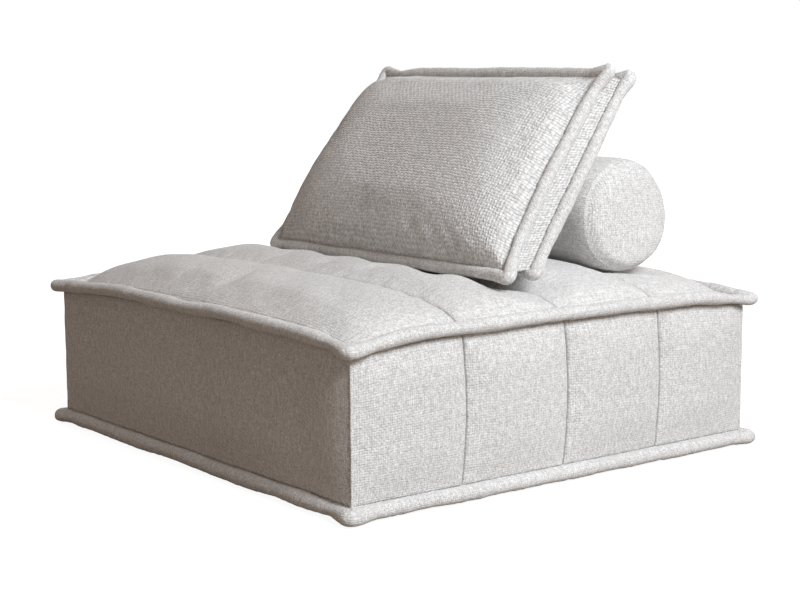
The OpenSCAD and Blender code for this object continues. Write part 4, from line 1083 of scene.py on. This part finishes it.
def rods_along(name, paths, spacing, length, radius, material, slot_name, body, across=False, uneven=0.08):
    """paths holds (points, ups, closed) for each path. Leaves a plain mesh of rods that rides on body."""
    points, ups, edges = [], [], []
    for line, up, closed in paths:
        start, n = len(points), len(line)
        points += [tuple(map(float, q)) for q in line]
        ups += [tuple(map(float, q)) for q in up]
        edges += [(start + k, start + (k + 1) % n) for k in range(n if closed else n - 1)]
    mesh = bpy.data.meshes.new(name)
    mesh.from_pydata(points, edges, [])
    mesh.attributes.new("up", "FLOAT_VECTOR", "POINT").data.foreach_set("vector", np.array(ups).reshape(-1))
    made = placed(name, mesh)
    laid = made.modifiers.new("rods", "NODES")
    laid.node_group = RODS
    values = {"Spacing": spacing, "Rod length": length, "Rod radius": radius, "Across": across, "Uneven": uneven,
              "Seed": RODS_SEED, "Material": material}
    for item in RODS.interface.items_tree:
        if item.in_out == "INPUT" and item.name in values:
            laid[item.identifier] = values[item.name]
    plain = evaluated_mesh(made)
    made.modifiers.clear()
    made.data = plain
    plain.name = name
    plain.polygons.foreach_set("use_smooth", [True] * len(plain.polygons))
    plain.set_sharp_from_angle(angle=math.radians(70))
    settle(made, body, slot_name)
    print(name, "faces", len(plain.polygons))


# %% Zip coils
COIL_Z, COIL_WIDE, COIL_PITCH, COIL_R, COIL_IN = 0.00122, 0.005, 0.0017, 0.00066, 0.004
zip_down = np.array([-math.sin(TAPER), 0, -math.cos(TAPER)])
zip_out = np.array([-math.cos(TAPER), 0, math.sin(TAPER)])
on_end = np.array([0.011 - face_half(ZIP_MID), CUSHION_T / 2, ZIP_MID])
bolster_out = np.array([0, math.sin(BOLSTER_ZIP), -math.cos(BOLSTER_ZIP)])
seat_mid = np.array([0, HALF_D - PANEL_T, ZIP_Z])
bolster_mid = np.array([BOLSTER_X, BOLSTER_Y, BOLSTER_Z]) + 0.100823 * bolster_out
along_x, to_rear = np.array([1.0, 0, 0]), np.array([0, 1.0, 0])
for where, body, middle, run, out, length in (
        ("seat", "seat", seat_mid, along_x, to_rear, 0.840),
        ("cushion", "back_cushion", lean_back(on_end), turned_back(zip_down), turned_back(zip_out), 0.340),
        ("bolster", "bolster", bolster_mid, along_x, bolster_out, 0.500)):
    at = np.linspace(-length / 2 + COIL_IN, length / 2 - COIL_IN, 12)
    line = middle + at[:, None] * run + COIL_Z * out
    rods_along(f"{where}_zip_teeth", [(line, [out] * len(at), False)], COIL_PITCH, COIL_WIDE, COIL_R, coil_look,
               "zip_tape", body, across=True, uneven=0.0)

# %% Stitches beside the rolls
STITCH, STITCH_R, STITCH_GAP, THREAD_LIFT = 0.0042, 0.0004, 0.0068, 0.0002
SEAT_STITCH_IN, END_STITCH_IN, END_STITCH_R = 0.013, 0.003, 0.103


def on_surface(obj, points):
    """A closed path of the points moved to the nearest place on a piece, with its outward direction."""
    found, ups = [], []
    for q in points:
        _, place, normal, _ = obj.closest_point_on_mesh(Vector(map(float, q)))
        found.append(np.array(place + normal * THREAD_LIFT))
        ups.append(np.array(normal))
    return found, ups, True


def rectangle(hw, hd, step):
    """Places round a rectangle with cut corners."""
    xs, ys = spaced(-hw, hw, step)[1:-1], spaced(-hd, hd, step)[1:-1]
    return [(x, -hd) for x in xs] + [(hw, y) for y in ys] + [(x, hd) for x in xs[::-1]] + [(-hw, y) for y in ys[::-1]]


def face_path(low, height, deep, crown, side):
    places = []
    for u, v in rectangle(0.955, 0.93, 0.03):
        rise = low + height / 2 + v * height / 2
        lift = float(crown * swell(np.array(u), np.array(v))) * 0.5
        places.append(lean_back([u * face_half(rise), deep + side * lift, rise]))
    return on_surface(cushion, places)


def end_path(side):
    x = BOLSTER_X + side * (BOLSTER_LEN / 2 - END_CROWN - END_STITCH_IN)
    return on_surface(bolster, [(x, BOLSTER_Y + END_STITCH_R * math.sin(t), BOLSTER_Z - END_STITCH_R * math.cos(t))
                                for t in 2 * np.pi * np.arange(72) / 72])


seat_path = on_surface(seat_top, [(x, y, float(top_z(np.array(x), np.array(y)))) for x, y in
                                  rectangle(TOP_HW - SEAT_STITCH_IN, TOP_HD - SEAT_STITCH_IN, 0.01)])
for where, body, paths in (("seat", "seat", [seat_path]),
                           ("cushion", "back_cushion", [face_path(*FRONT_FACE, -1), face_path(*REAR_FACE, 1)]),
                           ("bolster", "bolster", [end_path(-1), end_path(1)])):
    rods_along(f"{where}_stitches", paths, STITCH_GAP, STITCH, STITCH_R, thread_look, "linen", body)

# %% Corner welts
WELT_R, WELT_IN, WELT_SIDES, WELT_FLAT = 0.0026, 0.0008, 8, 0.002


def corner_welts():
    """A thin filled welt up each corner of the seat, where two side coverings meet."""
    turn = 2 * np.pi * np.arange(WELT_SIDES) / WELT_SIDES
    rise = spaced(SEAM_LOW - 0.004, SEAM_HIGH + 0.004, 0.006)
    points, faces, uvs = [], [], []
    for side_x, side_y in ((1, -1), (1, 1), (-1, 1), (-1, -1)):
        start = len(points)
        wander = 0.0003 * waves(rise, 0.5, 0.05, 0.2, 70 + side_x + 2 * side_y)
        for z, shift in zip(rise, wander):
            r = WELT_R * (1 + 0.08 * math.sin(900 * z))
            points += [(side_x * (HALF_W - WELT_IN) + shift + r * math.cos(a),
                        side_y * (HALF_D - WELT_IN) + r * math.sin(a), z) for a in turn]
        rows = [range(start + i * WELT_SIDES, start + (i + 1) * WELT_SIDES) for i in range(len(rise))]
        for low, high, z0, z1 in zip(rows, rows[1:], rise, rise[1:]):
            for j in range(WELT_SIDES):
                k = (j + 1) % WELT_SIDES
                faces.append((low[j], low[k], high[k], high[j]))
                uvs += patch(j * WELT_FLAT, (j + 1) * WELT_FLAT, z0, z1)
        for cap in (rows[0], rows[-1]):
            faces.append(tuple(cap))
            uvs += [points[k][:2] for k in cap]
    return smooth_object("corner_welts", points, faces, linen, uvs)


settle(corner_welts(), "seat", "linen", fill=0.8)
